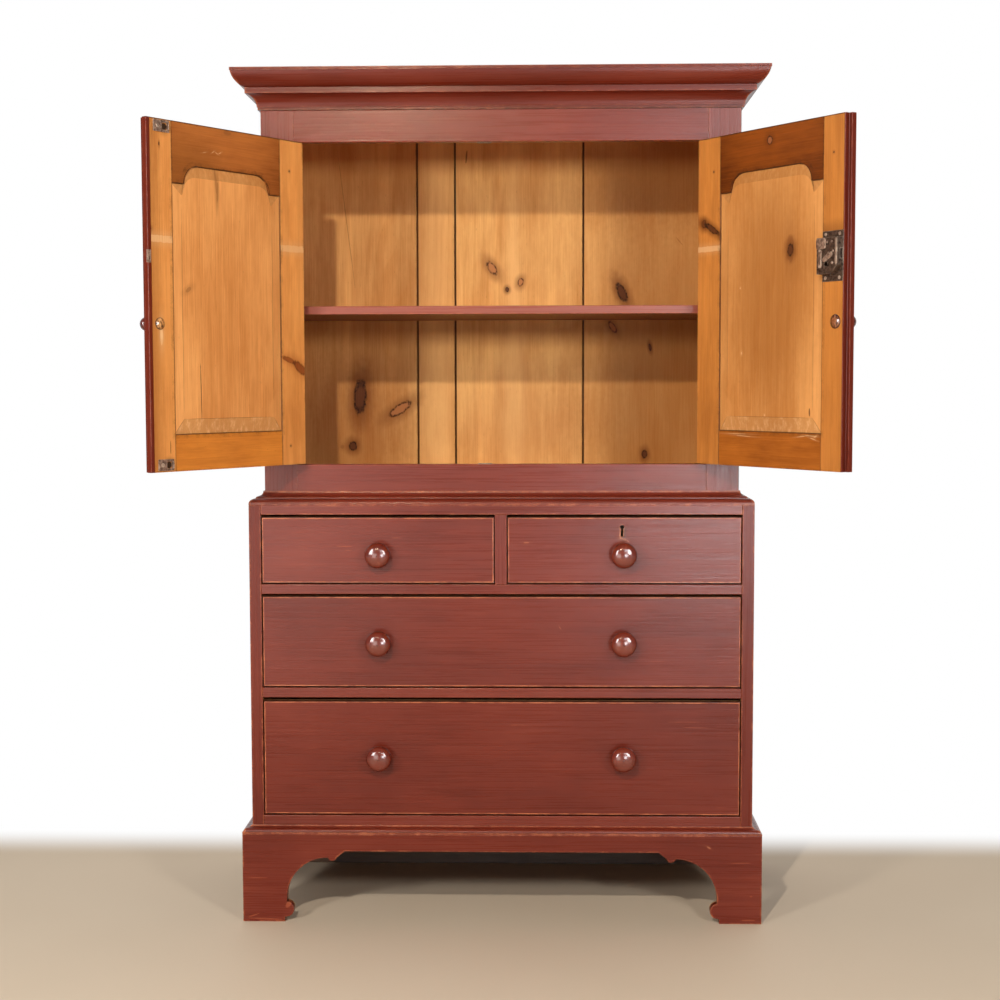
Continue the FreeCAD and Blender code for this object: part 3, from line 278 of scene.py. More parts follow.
for name, (spot, wide, high, watts, hue, seen_by) in LAMPS.items():
    lamp = put(name, bpy.data.lights.new(name, "AREA"))
    lamp.data.shape, lamp.data.size, lamp.data.size_y = "RECTANGLE", wide, high
    lamp.data.energy, lamp.data.color = watts, hue
    lamp.visible_diffuse, lamp.visible_glossy = seen_by != "gloss", seen_by != "matte"
    lamp.location = spot
    lamp.rotation_euler = (AIM - Vector(spot)).to_track_quat("-Z", "Y").to_euler()
print(len(LAMPS), "lamps,", sum(lamp[3] for lamp in LAMPS.values()), "watts")

# %% [markdown]
# ## Pine
# The press is made of pine. Its figure is long and soft: growth rings cut lengthwise give broad light and
# narrow dark bands, with fine fibres over them. A picture of wood would do it, but noise that is stretched
# along the board needs no file and never repeats. In this group, Z runs along the board.

# %% Shared effect: pine grain
RING_STEP, RING_SWAY = 34.0, 15.0
LATE_SHARE, STREAK_SHARE, FIBRE_SHARE, BROAD_SHARE = 0.12, 0.17, 0.19, 0.56
PORE = tint(92, 50, 20)
pine, draw, where, given, result = new_group(
    "pine_grain",
    [("Early", "Color", tint(214, 150, 88)), ("Late", "Color", tint(176, 108, 52))],
    [("Color", "Color"), ("Height", "Float")],
)
sway = draw.noise(where, (4, 4, 0.6), 2)
across = draw.length(draw.vector("MULTIPLY", where, (1, 1, 0)))
turns = draw.math("MULTIPLY_ADD", sway, RING_SWAY, draw.times(across, RING_STEP))
ring = draw.math("FRACT", turns)
late_wood = draw.times(draw.ease(ring, 0.2, 0.85), draw.ease(ring, 0.9, 1.0, 1.0, 0.0))
late_wood = draw.times(late_wood, draw.ease(draw.noise(where, (3, 3, 0.9)), 0.35, 0.65))
streak = draw.ease(draw.noise(where, (85, 85, 3.2), 4, 0.62), 0.32, 0.68)
fibre = draw.ease(draw.noise(where, (420, 420, 10), 3, 0.6), 0.3, 0.7)
broad = draw.ease(draw.noise(where, (6.5, 6.5, 2.2), 5, 0.68), 0.32, 0.68)
figure = draw.times(late_wood, LATE_SHARE)
for part, weight in ((streak, STREAK_SHARE), (fibre, FIBRE_SHARE), (broad, BROAD_SHARE)):
    figure = draw.math("MULTIPLY_ADD", part, weight, figure)
colour = draw.mix(figure, given["Early"], given["Late"])
sapwood = draw.ease(draw.noise(where, (20, 20, 0.9), 3), 0.58, 0.76, 0.0, 0.14)
colour = draw.mix(sapwood, colour, given["Early"], "ADD")
pore = draw.ease(draw.noise(where, (600, 600, 90), 2), 0.68, 0.8, 0.0, 0.4)
colour = draw.mix(pore, colour, PORE)
draw.give(result, color=colour, height=draw.math("MULTIPLY_ADD", late_wood, 0.6, fibre))
print("group", pine.name)

# %% [markdown]
# ## Red paint
# The outside wears an old oxblood paint, brushed on along each board. Under the satin it shows long brush
# lines, a slow change of tone and small scuffs. The group draws all three from stretched noise, again
# with Z along the board.

# %% Shared effect: brushed paint
BRUSH_DEPTH = 0.9
CLOUD_SHARE, SWEEP_SHARE, BRISTLE_SHARE = 0.64, 0.2, 0.16
paint, draw, where, _, result = new_group(
    "brushed_paint", [], [("Color", "Color"), ("Roughness", "Float"), ("Height", "Float")],
)
cloud = draw.noise(where, (5, 5, 2.6), 4, 0.6)
sweep = draw.noise(where, (70, 70, 1.6), 3)
bristle = draw.noise(where, (300, 300, 5.0), 3, 0.6)
body = draw.times(cloud, CLOUD_SHARE)
body = draw.math("MULTIPLY_ADD", sweep, SWEEP_SHARE, body)
body = draw.math("MULTIPLY_ADD", bristle, BRISTLE_SHARE, body)
colour = draw.mix(draw.ease(body, 0.36, 0.54), tint(102, 33, 18), tint(117, 41, 24))
colour = draw.mix(draw.ease(body, 0.52, 0.68), colour, tint(132, 53, 34))
scratch = draw.ease(draw.noise(where, (150, 150, 6), 3, 0.6), 0.69, 0.78)
scratch = draw.times(scratch, draw.ease(cloud, 0.5, 0.6))
colour = draw.mix(draw.times(scratch, 0.5), colour, tint(186, 100, 66))
ridges = draw.math("MULTIPLY_ADD", sweep, 0.6, bristle)
draw.give(result, color=colour, height=draw.times(ridges, BRUSH_DEPTH))
draw.give(result, roughness=draw.ease(bristle, 0.25, 0.75, 0.24, 0.34))
print("group", paint.name)

# %% [markdown]
# ## Worn arrises
# Along every sharp edge the paint has rubbed through to orange wood, and dirt and painted shade darken the
# corners. The edges could be picked by hand. Here a short look inward from the surface finds them: near a
# sharp edge that look soon meets the next face, so the mask follows any shape.

# %% Shared effect: edge wear, and dirt and painted shade in corners
CORNER_REACH = 0.012
wear_and_shade, draw, where, given, result = new_group(
    "edge_wear_and_shade", [("Reach", "Float", 0.004)], [("Worn", "Float"), ("Dirt", "Float")],
)
inward = draw.add("AmbientOcclusion", None, given["Reach"], inside=True, only_local=True, samples=3)
outward = draw.add("AmbientOcclusion", None, CORNER_REACH, only_local=True, samples=3)
patchy = draw.noise(where, (55, 55, 55), 4, 0.68)
open_edge = draw.math("SUBTRACT", 1.0, inward.outputs["AO"])
worn = draw.math("ADD", open_edge, draw.math("MULTIPLY_ADD", patchy, 0.5, -0.25))
worn = draw.times(draw.ease(worn, 0.24, 0.5), draw.ease(patchy, 0.38, 0.66, 0.35, 1.0))
# Dark in corners and hollows, where a short look outward meets the piece again: dirt, and painted shade.
draw.give(result, worn=worn, dirt=draw.ease(outward.outputs["AO"], 0.5, 0.95, 1.0, 0.0))
print("group", wear_and_shade.name)

# %% [markdown]
# ## Knots and marks
# A knot is an oval with a dark rim, and a stain, a crack or a rubbed patch is the same oval with other
# colours. One group measures how far a point is from an oval on the board's face and gives three masks:
# the inside, a broken rim and a wide halo.

# %% Shared effect: an oval on a board
oval, draw, where, given, result = new_group(
    "oval_mark",
    [("Centre", "Vector", (0, 0, 0)), ("Turn", "Vector", (0, 0, 0)), ("Half", "Vector", (0.01, 1, 0.01))],
    [("Core", "Float"), ("Rim", "Float"), ("Halo", "Float")],
)
near = draw.place(where, given["Centre"], given["Turn"], given["Half"], back=True)
wobble = draw.noise(where, (110, 1, 70), 3)
broken = draw.ease(draw.noise(where, (210, 1, 150), 3, 0.6), 0.36, 0.58, 0.3, 1.0)
far = draw.length(draw.vector("MULTIPLY", near, (1, 0, 1)))
far = draw.math("ADD", far, draw.math("MULTIPLY_ADD", wobble, 0.7, -0.35))
rim = draw.times(draw.ease(far, 0.62, 0.92), draw.ease(far, 0.95, 1.3, 1.0, 0.0))
draw.give(result, core=draw.ease(far, 0.8, 1.05, 1.0, 0.0), rim=draw.times(rim, broken))
draw.give(result, halo=draw.ease(far, 0.8, 3.2, 1.0, 0.0))
print("group", oval.name)

# %% [markdown]
# ## One finish for every board
# Each board has its own grain direction, tone, knots and paint. One function draws them all: it turns the
# board so that Z runs along its grain, lays pine, adds marks, and covers the painted faces. Which faces
# are painted is told by their place, because a maker paints what shows and leaves the rest bare.

# %% Kinds of mark
END_TO_END = 3000
# For the halo, the core and the rim of each kind: a colour as seen on a screen, and how strongly it covers.
MARKS = {
    "knot": ((112, 58, 20, 0.7), (84, 44, 22, 0.86), (26, 11, 5, 0.95)),
    "pale_knot": ((132, 76, 30, 0.62), (182, 116, 68, 0.7), (52, 24, 10, 0.92)),
    "eye": ((84, 38, 10, 0.4), (156, 98, 62, 0.8), (40, 17, 7, 0.9)),
    "swirl": ((176, 100, 42, 0.4), (132, 62, 24, 0.85), (84, 34, 12, 0.8)),
    "stain": ((150, 92, 44, 0.3), (120, 70, 32, 0.4)),
    "shade": ((140, 82, 30, 0.5),),
    "line": (None, (120, 70, 30, 0.5)),
    "gap": (None, (78, 42, 16, 0.8)),
    "sapwood": ((240, 188, 122, 0.3),),
    # Painted shade along the underside of a board.
    "painted_underside_shade": (None, (104, 58, 26, 0.9)),
    "warm": ((160, 84, 34, 0.26),),
    # A pale pink painted sheen on paint.
    "painted_sheen": ((196, 124, 106, 0.3),),
    # A thin dark line: cracks in the boards, and a painted shadow line along the cornice's foot.
    "crack_and_shadow_line": (None, (70, 36, 16, 0.75)),
    "chip": ((190, 110, 76, 0.1), (200, 128, 88, 0.5)),
    "scuff": (None, (178, 94, 62, 0.5)),
    # Painted shade of a hole: near black inside it, darker round it.
    "painted_hole_shade": ((70, 40, 20, 0.3), (24, 14, 8, 0.95)),
    "nail": ((110, 62, 30, 0.35), (48, 26, 14, 0.9)),
    "rubbed": ((240, 196, 144, 0.12), (240, 196, 144, 0.46)),
}


def marked(draw, where, colour, marks):
    """Lays ovals over a colour: kind, across, height, half width, half height, all in mm, and a lean in
    degrees where they have one."""
    for kind, x, z, half_x, half_z, *lean in marks:
        half = (half_x / 1000, 1, half_z / 1000)
        turn = (0, math.radians(sum(lean)), 0)
        mask = draw.use(oval, place=where, centre=(x / 1000, 0, z / 1000), turn=turn, half=half)
        for name, part in zip(("Halo", "Core", "Rim"), MARKS[kind]):
            if part:
                *hue, share = part
                colour = draw.mix(draw.times(mask[name], share), colour, tint(*hue))
    return colour


print(len(MARKS), "kinds of mark")

# %% Boards side by side, bevels and outlines
BARE_EDGE, DEEPER_RED = tint(208, 122, 80), tint(70, 22, 13)
GRIME_AND_SHADE, SEAM, WOOD_DIRT_AND_SHADE = tint(52, 12, 6), tint(60, 30, 12), tint(84, 46, 22)
GAP_DARK, GAP_BAND = tint(26, 14, 7), (0.0012, 0.0026)
ARRIS_LINE = 0.0026
TONE_STEP, TONE_SHARE = 0.618, 0.3
CUT_FOOT, CUT_HEAD = 1.1, 1.4


def board_number(draw, x, joints):
    """Which of several boards side by side a place lies on: the number of joints to its left."""
    number = 0.0
    for joint in joints:
        number = draw.math("ADD", draw.math("GREATER_THAN", x, joint), number)
    return number


def board_tones(draw, x, joints, number, colour, dark):
    """Gives each board its own tone and darkens the gaps between them."""
    tone = draw.math("FRACT", draw.times(number, TONE_STEP))
    colour = draw.mix(draw.times(tone, TONE_SHARE), colour, dark)
    for joint in joints:
        off = draw.math("ABSOLUTE", draw.math("SUBTRACT", x, joint))
        colour = draw.mix(draw.ease(off, *GAP_BAND, 0.95, 0.0), colour, GAP_DARK)
    return colour


def bevel_cut(draw, where, normal, colour):
    """The bevels across a panel's grain: flecked where the plane tore the fibres, paler at the foot, and
    darker at the head, where dirt and the painted shadow of the rail lie on them.
    """
    lean = draw.math("ABSOLUTE", draw.split(normal)[2])
    cross = draw.times(draw.ease(lean, 0.02, 0.05), draw.ease(lean, 0.5, 0.8, 1.0, 0.0))
    fleck = draw.ease(draw.noise(where, (120, 60, 60), 4, 0.65), 0.42, 0.75)
    foot = draw.mix(fleck, tint(192, 136, 80), tint(230, 184, 134))
    # The head's darker colour is dirt and the painted shadow under the rail.
    head_dirt_and_shadow = draw.mix(fleck, tint(176, 116, 60), tint(204, 148, 90))
    cut = draw.mix(draw.ease(draw.split(where)[2], CUT_FOOT, CUT_HEAD), foot, head_dirt_and_shadow)
    return draw.mix(draw.times(cross, 0.6), colour, cut)


def worn_outline(draw, where, outline, red):
    """A dark rim of painted shade along the four sides of a face, where it turns into the gap, and, inside
    it, a broken light line of wear.
    """
    (left, bottom), (right, top) = outline
    x, _, z = draw.split(where)
    ways = [draw.math("SUBTRACT", *pair) for pair in ((x, left), (right, x), (z, bottom), (top, z))]
    inset = draw.math("MINIMUM", draw.math("MINIMUM", *ways[:2]), draw.math("MINIMUM", *ways[2:]))
    broken = draw.ease(draw.noise(where, (30, 30, 30), 5, 0.7), 0.36, 0.64, 0.12, 0.85)
    line = draw.times(draw.ease(inset, ARRIS_LINE, 1.5 * ARRIS_LINE, 1.0, 0.0), broken)
    red = draw.mix(line, red, BARE_EDGE)
    # Painted shade: a dark rim along the face's edge.
    return draw.mix(draw.ease(inset, 0.45 * ARRIS_LINE, 0.75 * ARRIS_LINE, 0.85, 0.0), red, GRIME_AND_SHADE)


print("gaps", GAP_BAND[1], "m to each side of a joint")

# %% The board finish
ALONG = {"Z": (0, 0, 0), "X": (0, math.pi / 2, 0), "Y": (math.pi / 2, 0, 0)}
PALE, PLAIN = (tint(222, 150, 84), tint(180, 106, 48)), (tint(206, 166, 118), tint(164, 120, 76))
PAINT_RIM = 0.0006
BOARD_SHIFT = 3.7
GRAIN_STRENGTH, GRAIN_DEPTH = 0.45, 0.0006


def board(name, along="Z", tones=PLAIN, front=None, side=None, hung=None, joints=(), marks=(), bevel=False,
          shift=(0, 0, 0), chips=(), worn=0.85, seam=0.5, deep=0.0, dirt=0.7, outline=None, shine=0.36):
    """Pine with its grain along one axis. Paint covers what lies in front of front and outside of side. Marks
    lie on the wood and chips on the paint. Worn says how far the painted arrises are rubbed through, seam how
    dark those of the bare wood are, deep how far the paint is darkened towards a deeper red, and dirt and
    shade how far dirt and painted shade darken the paint's corners. An outline, two corners of a face, gets a
    line of wear inside a painted shade along its sides. Shine is the specular level."""
    made, draw, shader = new_material(name)
    spot = draw.add("TexCoord").outputs
    where = draw.place(spot["Object"], *hung, back=True) if hung else spot["Object"]
    x, y, _ = draw.split(where)
    piece = where
    if joints:
        number = board_number(draw, x, joints)
        jump = draw.add("CombineXYZ", 0.0, 0.0, draw.times(number, BOARD_SHIFT)).outputs[0]
        piece = draw.vector("ADD", where, jump)
    grain = draw.place(piece, shift, ALONG[along])
    wood = draw.use(pine, place=grain, early=tones[0], late=tones[1])
    colour, height = wood["Color"], wood["Height"]
    if joints:
        colour = board_tones(draw, x, joints, number, colour, tones[1])
    if bevel:
        colour = bevel_cut(draw, where, spot["Normal"], colour)
    edge = draw.use(wear_and_shade, place=where)
    colour = marked(draw, where, colour, marks)
    # Dirt and painted shade darken the bare wood's corners.
    colour = draw.mix(draw.times(edge["Dirt"], 0.55), colour, WOOD_DIRT_AND_SHADE)
    colour = draw.mix(draw.times(edge["Worn"], seam), colour, SEAM)
    rough = draw.ease(height, 0.0, 1.4, 0.42, 0.58)
    painted = []
    if front is not None:
        painted.append(draw.ease(y, front - PAINT_RIM, front + PAINT_RIM, 1.0, 0.0))
    if side is not None:
        painted.append(draw.ease(draw.math("ABSOLUTE", x), side - PAINT_RIM, side + PAINT_RIM))
    if painted:
        cover = draw.math("MAXIMUM", painted[0], painted[-1])
        coat = draw.use(paint, place=grain)
        red = draw.mix(deep, coat["Color"], DEEPER_RED)
        red = marked(draw, where, red, chips)
        # Dirt and painted shade darken the paint's corners.
        red = draw.mix(draw.times(edge["Dirt"], dirt), red, GRIME_AND_SHADE)
        red = draw.mix(draw.times(edge["Worn"], worn), red, BARE_EDGE)
        if outline:
            red = worn_outline(draw, where, outline, red)
        colour = draw.mix(cover, colour, red)
        rough = draw.add("Mix", cover, None, rough, coat["Roughness"]).outputs[0]
        height = draw.add("Mix", cover, None, height, coat["Height"]).outputs[0]
    draw.give(shader.inputs, base_color=colour, roughness=rough)
    shader.inputs["Specular IOR Level"].default_value = shine
    draw.relief(height, GRAIN_STRENGTH, GRAIN_DEPTH, shader)
    return made


print("board finish ready")

# %% [markdown]
# ## Dressing a node
# A CAD node is loose triangles with knife-sharp corners, while a planed board has corners eased by a
# millimetre. They could be rounded in CAD, at the cost of many small faces. Here modifiers join the triangles
# into whole faces, round the corners and part the faces again, so that flat ones stay flat in the light.

# %% Dress a node
EASED, JOIN_REACH, FLAT_ANGLE = 0.0011, 0.00002, math.radians(0.5)
ARRIS_ANGLE, CRISP_ANGLE = math.radians(38), math.radians(16)


def dress(names, material, eased=EASED):
    """Gives the named CAD nodes a finish and rounds their arrises by eased, or leaves them sharp at 0."""
    for name in names.split():
        shape = press[name]
        if not shape.material_slots:
            shape.data.materials.append(material)
        for holder in shape.material_slots:
            holder.material = material
        shape.modifiers.new("joined", "WELD").merge_threshold = JOIN_REACH
        if eased:
            flat = shape.modifiers.new("whole_faces", "DECIMATE")
            flat.decimate_type, flat.angle_limit = "DISSOLVE", FLAT_ANGLE
            soft = shape.modifiers.new("eased_arris", "BEVEL")
            soft.width, soft.segments, soft.limit_method = eased, 2, "ANGLE"
            soft.angle_limit, soft.use_clamp_overlap = ARRIS_ANGLE, False
        shape.modifiers.new("crisp_arris", "EDGE_SPLIT").split_angle = CRISP_ANGLE


def clad(names, finish, *looks, eased=EASED, **more):
    """Dresses nodes in a board finish of their own."""
    dress(names, board(finish, *looks, **more), eased)


print("arrises eased by", EASED, "m")

# %% [markdown]
# ## Chest and cupboard
# The outside of the carcass is painted, the inside is bare or waxed pine. Front pieces are painted a few
# millimetres deep, the sides on their outer faces, and the mouldings all over.

# %% Dress the carcass
def front_of(name, depth):
    """Where the paint of a front ends, in y: depth behind the node's foremost face."""
    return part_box(name)[0].y + depth


def side_of(name, depth):
    """Where the paint of an outer side begins, in x: depth inside the node's outermost face."""
    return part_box(name)[1].x - depth


RAIL_PAINT, PLINTH_DEPTH, PAINT_ALL = front_of("chest_top_rail", 0.012), 0.016, 1.0
# Dark pine for the boards under the chest and behind the plinth: painted shade.
SHADED_UNDERSIDE = (tint(104, 72, 44), tint(74, 48, 28))
CORNICE_FOOT, SHELF_FOOT = (1000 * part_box(name)[0].z for name in ("cornice", "shelf"))
PLINTH_CHIPS = (
    ("scuff", -505, 6, 34, 1.6, 2), ("scuff", -528, 14, 14, 1.2, -20), ("scuff", -455, 38, 5, 9, 30),
    ("scuff", -520, 95, 22, 0.8), ("scuff", 505, 132, 26, 0.8), ("scuff", 530, 60, 3, 1.5),
    ("chip", 440, 165, 5, 1.5, 30), ("scuff", 525, 8, 16, 1.4),
)
clad(
    "chest_sides", "chest_side_finish", front=front_of("chest_sides", 0.006),
    side=side_of("chest_sides", 0.003), deep=0.25, shine=0.24,
)
clad(
    "chest_upper_rail chest_lower_rail chest_bottom_rail", "chest_rail_finish", "X",
    front=RAIL_PAINT, worn=0.2,
)
clad("chest_top_rail", "chest_top_rail_finish", "X", front=RAIL_PAINT, shift=(0, 0.9, 0))
clad("drawer_divider", "divider_finish", front=front_of("drawer_divider", 0.012), worn=0.2)
clad(
    "plinth_front", "plinth_front_finish", "X", front=front_of("plinth_front", PLINTH_DEPTH),
    deep=0.22, chips=PLINTH_CHIPS, shine=0.24,
)
clad(
    "plinth_sides", "plinth_side_finish", "Y", front=front_of("plinth_sides", PLINTH_DEPTH),
    side=side_of("plinth_sides", 0.012), deep=0.3,
)
clad(
    "plinth_moulding waist_moulding", "moulding_finish", "X", eased=0, front=PAINT_ALL,
    deep=0.1, dirt=0.5, worn=0.6,
)
# The dark line along the cornice's foot is a painted shadow line under the moulding.
clad(
    "cornice", "cornice_finish", "X", eased=0, front=PAINT_ALL, deep=0.3, worn=0.4, dirt=0.45, shine=0.24,
    chips=(("crack_and_shadow_line", 0, CORNICE_FOOT + 1, END_TO_END, 1.4),),
)
clad(
    "frieze_rail cupboard_base_rail", "cupboard_rail_finish", "X", front=PAINT_ALL,
    shift=(0.3, 0.7, 1.9), worn=0.3,
)
clad("cupboard_stiles", "cupboard_stile_finish", front=PAINT_ALL, shift=(0.5, 0.2, 0.4), worn=0.3)
clad(
    "cupboard_sides", "cupboard_side_finish", tones=PALE, side=side_of("cupboard_sides", 0.003), shine=0.15,
)
# The shelf's underside is darkened with painted shade.
clad(
    "shelf", "shelf_finish", "X", PALE, front=front_of("shelf", 0.002), worn=0.5,
    # A pale pink patch on the shelf's painted front edge is a painted sheen.
    marks=(("painted_underside_shade", 0, SHELF_FOOT, END_TO_END, 6),), chips=(("painted_sheen", 60, SHELF_FOOT + 10, 300, 40),),
)
clad("cupboard_floor_board cupboard_top_board", "cupboard_board_finish", "X", PALE)
clad("chest_top_board", "hidden_board_finish", "X")
# The boards under the chest get the dark pine of painted shade.
clad("chest_floor_board plinth_back plinth_blocks", "shaded_underside_finish", "X", SHADED_UNDERSIDE)
clad("drawer_runners drawer_stops", "runner_finish", "Y")
print("carcass dressed,", len(bpy.data.materials), "finishes so far")

# %% Dress the back boards
BACK = (tint(240, 186, 114), tint(188, 126, 62))
BACK_JOINTS = (-0.204, -0.1155, 0.184)
# The shade patches on the right and the warm patch low in the middle are painted shade, where less light
# reaches the back boards.
BACK_MARKS = (
    ("shade", 430, 1080, 125, 250), ("shade", -375, 1030, 60, 80), ("shade", 400, 1640, 110, 60),
    ("warm", -325, 1360, 75, 260), ("warm", 35, 1060, 75, 55),
    ("sapwood", -160, 1300, 16, 400), ("sapwood", 22, 1150, 12, 150), ("sapwood", 20, 1450, 6, 110),
    ("pale_knot", -30, 1416, 8, 17, -35), ("pale_knot", 37, 1383, 6, 9, 18), ("knot", 5, 1366, 4, 5),
    ("knot", 274, 1358, 9, 22, -24), ("knot", -342, 1116, 14, 36, 4), ("pale_knot", -248, 1087, 10, 28, 56),
    ("knot", -360, 1000, 9, 10), ("stain", -385, 998, 5, 5), ("pale_knot", 252, 1278, 6, 14, -35),
    ("knot", 340, 1231, 3, 8, -10), ("knot", 328, 980, 6, 9), ("line", -371, 1530, 1.0, 165, -7),
    ("crack_and_shadow_line", -89, 1674, 2, 16, 5), ("line", 408, 1476, 0.9, 14, -40),
)
clad(
    "cupboard_back_boards", "cupboard_back_finish", tones=BACK, joints=BACK_JOINTS, marks=BACK_MARKS,
    shine=0.07,
)
CHEST_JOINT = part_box("chest_back_boards")[1].x / 2
clad("chest_back_boards", "chest_back_finish", joints=(-CHEST_JOINT, 0.0, CHEST_JOINT))
print(len(BACK_MARKS), "marks on the cupboard's back")

# %% [markdown]
# ## Doors
# Each door is a frame of two stiles and two rails round a panel. Its inner side is waxed pine and its face
# and edges are red. The doors stand open, so each finish is first turned back with a Mapping node into
# the closed door's own place: across from the hinge pin, inward from the face, and up.

# %% Wood and marks of the doors
PIN_X, PIN_Y = 0.43325, -0.4189
OPEN = math.radians(124)
INNER_FACE, PANEL_BACK, FACE_PAINT, MEETING_PAINT = 0.0263, 0.0145, 0.0085, 0.4275
HUNG = {
    "left": ((-PIN_X, PIN_Y, 0), (0, 0, -OPEN), (1, 1, 1)),
    "right": ((PIN_X, PIN_Y, 0), (0, 0, OPEN), (-1, 1, 1)),
}
DOOR_EASED = {"stiles": 0.0008, "panel": 0, "top_rail": 0.0004, "bottom_rail": 0.0008}
DOOR_WOOD = {
    "left_stiles": (tint(240, 166, 90), tint(192, 116, 52)),
    "left_panel": (tint(242, 172, 102), tint(196, 122, 58)),
    "left_top_rail": (tint(190, 112, 50), tint(116, 56, 16)),
    "left_bottom_rail": (tint(232, 146, 58), tint(180, 102, 34)),
    "right_stiles": (tint(214, 138, 64), tint(160, 94, 36)),
    "right_panel": (tint(230, 164, 96), tint(186, 116, 52)),
    "right_top_rail": (tint(146, 74, 18), tint(66, 24, 2)),
    "right_bottom_rail": (tint(194, 112, 38), tint(126, 62, 12)),
}
DOOR_MARKS = {
    "left_stiles": (
        ("shade", 445, 1313, 18, END_TO_END), ("rubbed", 405, 1423, 150, 7),
        ("rubbed", 37, 1427, 150, 7), ("swirl", 50, 1197, 5, 20, 74), ("swirl", 16, 1180, 9, 24, 56),
        ("nail", 430, 1441, 3.5, 3), ("rubbed", 405, 1241, 4, 20), ("rubbed", 405, 1246, 3, 14),
        # The holes behind the catch plates' windows are painted shade.
        ("painted_hole_shade", 391, 1635, 7, 7), ("painted_hole_shade", 391, 992, 7, 7),
        ("nail", 43, 1586, 2, 2), ("nail", 47, 1018, 2, 2), ("nail", 404, 1602, 1.5, 4),
        ("crack_and_shadow_line", 386, 1026, 1, 14),
    ),
    "left_panel": (
        ("gap", 302, 1135, 1.2, 60, 1), ("stain", 254, 1544, 3, 26, 4), ("stain", 250, 1525, 2, 22, -3),
        ("stain", 332, 1330, 9, 4, 30),
    ),
    "left_top_rail": (
        ("rubbed", 243, 1601, 4, 0.9, 24), ("rubbed", 252, 1600, 4, 0.8, -24),
        ("rubbed", 262, 1601, 4, 0.8, 30), ("rubbed", 285, 1598, 5, 0.7, 12),
        ("stain", 222, 1643, 12, 5), ("shade", 330, 1560, 40, 30),
    ),
    "right_stiles": (
        ("knot", 20, 1475, 7, 8, 20), ("knot", 46, 1463, 6, 24, -62), ("rubbed", 20, 1423, 150, 6),
        ("shade", 404, 1432, 26, 9), ("nail", 51, 1579, 2, 2), ("nail", 400, 1579, 2, 2),
    ),
    "right_panel": (
        ("shade", 222, 1330, 60, 120), ("stain", 282, 1408, 11, 30), ("knot", 282, 1405, 8, 11, 4),
        ("crack_and_shadow_line", 340, 1091, 2, 9), ("rubbed", 135, 1338, 1.6, 1.6), ("rubbed", 140, 1207, 1.8, 3),
        ("rubbed", 211, 1083, 1.5, 2),
    ),
    "right_top_rail": (("eye", 221, 1623, 7, 8),),
    "right_bottom_rail": (
        ("rubbed", 130, 1044, 30, 0.8), ("rubbed", 150, 1040, 24, 0.8, 2),
        ("rubbed", 345, 1045, 16, 1.0, 3), ("rubbed", 318, 1043, 12, 0.8, -6),
        ("rubbed", 352, 1039, 9, 0.9, 14), ("rubbed", 358, 1044, 5, 1.6, -20),
    ),
}
print(sum(map(len, DOOR_MARKS.values())), "marks on the doors")

# %% Lines where the frame, the panel and its bevels meet
SIGHT_LEFT, SIGHT_RIGHT, DOOR_MIDDLE, DOOR_TOP = 72.25, 372.25, 1314, 1649
FIELD_LEFT, FIELD_RIGHT, FIELD_FOOT, FIELD_HEAD = 96.2, 348.2, 1079.4, 1510.4
STILE_SPLIT = 0.22
ARCH_MIDDLE, FIELD_MIDDLE = (SIGHT_LEFT + SIGHT_RIGHT) / 2, (FIELD_LEFT + FIELD_RIGHT) / 2
TOP_LINE = (("gap", 218, DOOR_TOP, END_TO_END, 1.8),)
FOOT_LINE = (("gap", 222, 1050, END_TO_END, 1.1),)
SIGHT_LINES = tuple(("gap", a, DOOR_MIDDLE, 1.3, END_TO_END) for a in (SIGHT_LEFT, SIGHT_RIGHT))
HALF_ARCH = (
    ("gap", 86, 1532, 22, 1.2, 0), ("gap", 103.5, 1539, 1.2, 9, 12), ("gap", 109.3, 1551.7, 1.2, 9, 37),
    ("gap", 120, 1561.4, 1.2, 9, 59), ("gap", 134, 1567, 1.2, 11, 80),
)
OTHER_HALF = tuple((kind, 2 * ARCH_MIDDLE - a, *rest, -lean) for kind, a, *rest, lean in HALF_ARCH)
ARCH_LINES = HALF_ARCH + OTHER_HALF + (("gap", 222, 1568.3, 110, 1.2),)
FIELD_SIDES = tuple(
    ("line", a, (FIELD_FOOT + FIELD_HEAD) / 2, 0.9, (FIELD_HEAD - FIELD_FOOT) / 2)
    for a in (FIELD_LEFT, FIELD_RIGHT)
)
FIELD_ENDS = (
    ("line", FIELD_MIDDLE, FIELD_FOOT, (FIELD_RIGHT - FIELD_LEFT) / 2, 0.8),
    ("line", 84.4, 1064.6, 0.8, 19, 38.6), ("line", 360, 1064.6, 0.8, 19, -38.6),
)
LINES = {
    "stiles": SIGHT_LINES + TOP_LINE,
    "panel": FIELD_SIDES + FIELD_ENDS + ARCH_LINES + FOOT_LINE,
    "top_rail": TOP_LINE + ARCH_LINES,
    "bottom_rail": FOOT_LINE,
}
print({part: len(lines) for part, lines in LINES.items()}, "lines")

# %% Dress the doors
for hand, hung in HUNG.items():
    for part, lines in LINES.items():
        key = f"{hand}_{part}"
        clad(
            f"{hand}_door_{part}", f"{hand}_door_{part}_finish", "X" if part.endswith("rail") else "Z",
            DOOR_WOOD[key], eased=DOOR_EASED[part], hung=hung, shift=(0.1, 0.4, 0.9),
            front=PANEL_BACK if part == "panel" else FACE_PAINT, bevel=part == "panel",
            side=MEETING_PAINT if part == "stiles" else None,
            joints=(STILE_SPLIT,) if part == "stiles" else (),
            marks=DOOR_MARKS.get(key, ()) + lines,
            seam=0.85 if part == "top_rail" else 0.5, worn=0.18, deep=0.3, shine=0.14,
        )
print("doors dressed, open by", round(math.degrees(OPEN)), "degrees")

# %% [markdown]
# ## Drawers
# A drawer front is painted on its face and a little way round its edges. The box behind it is bare pine,
# yellowed and dusty.

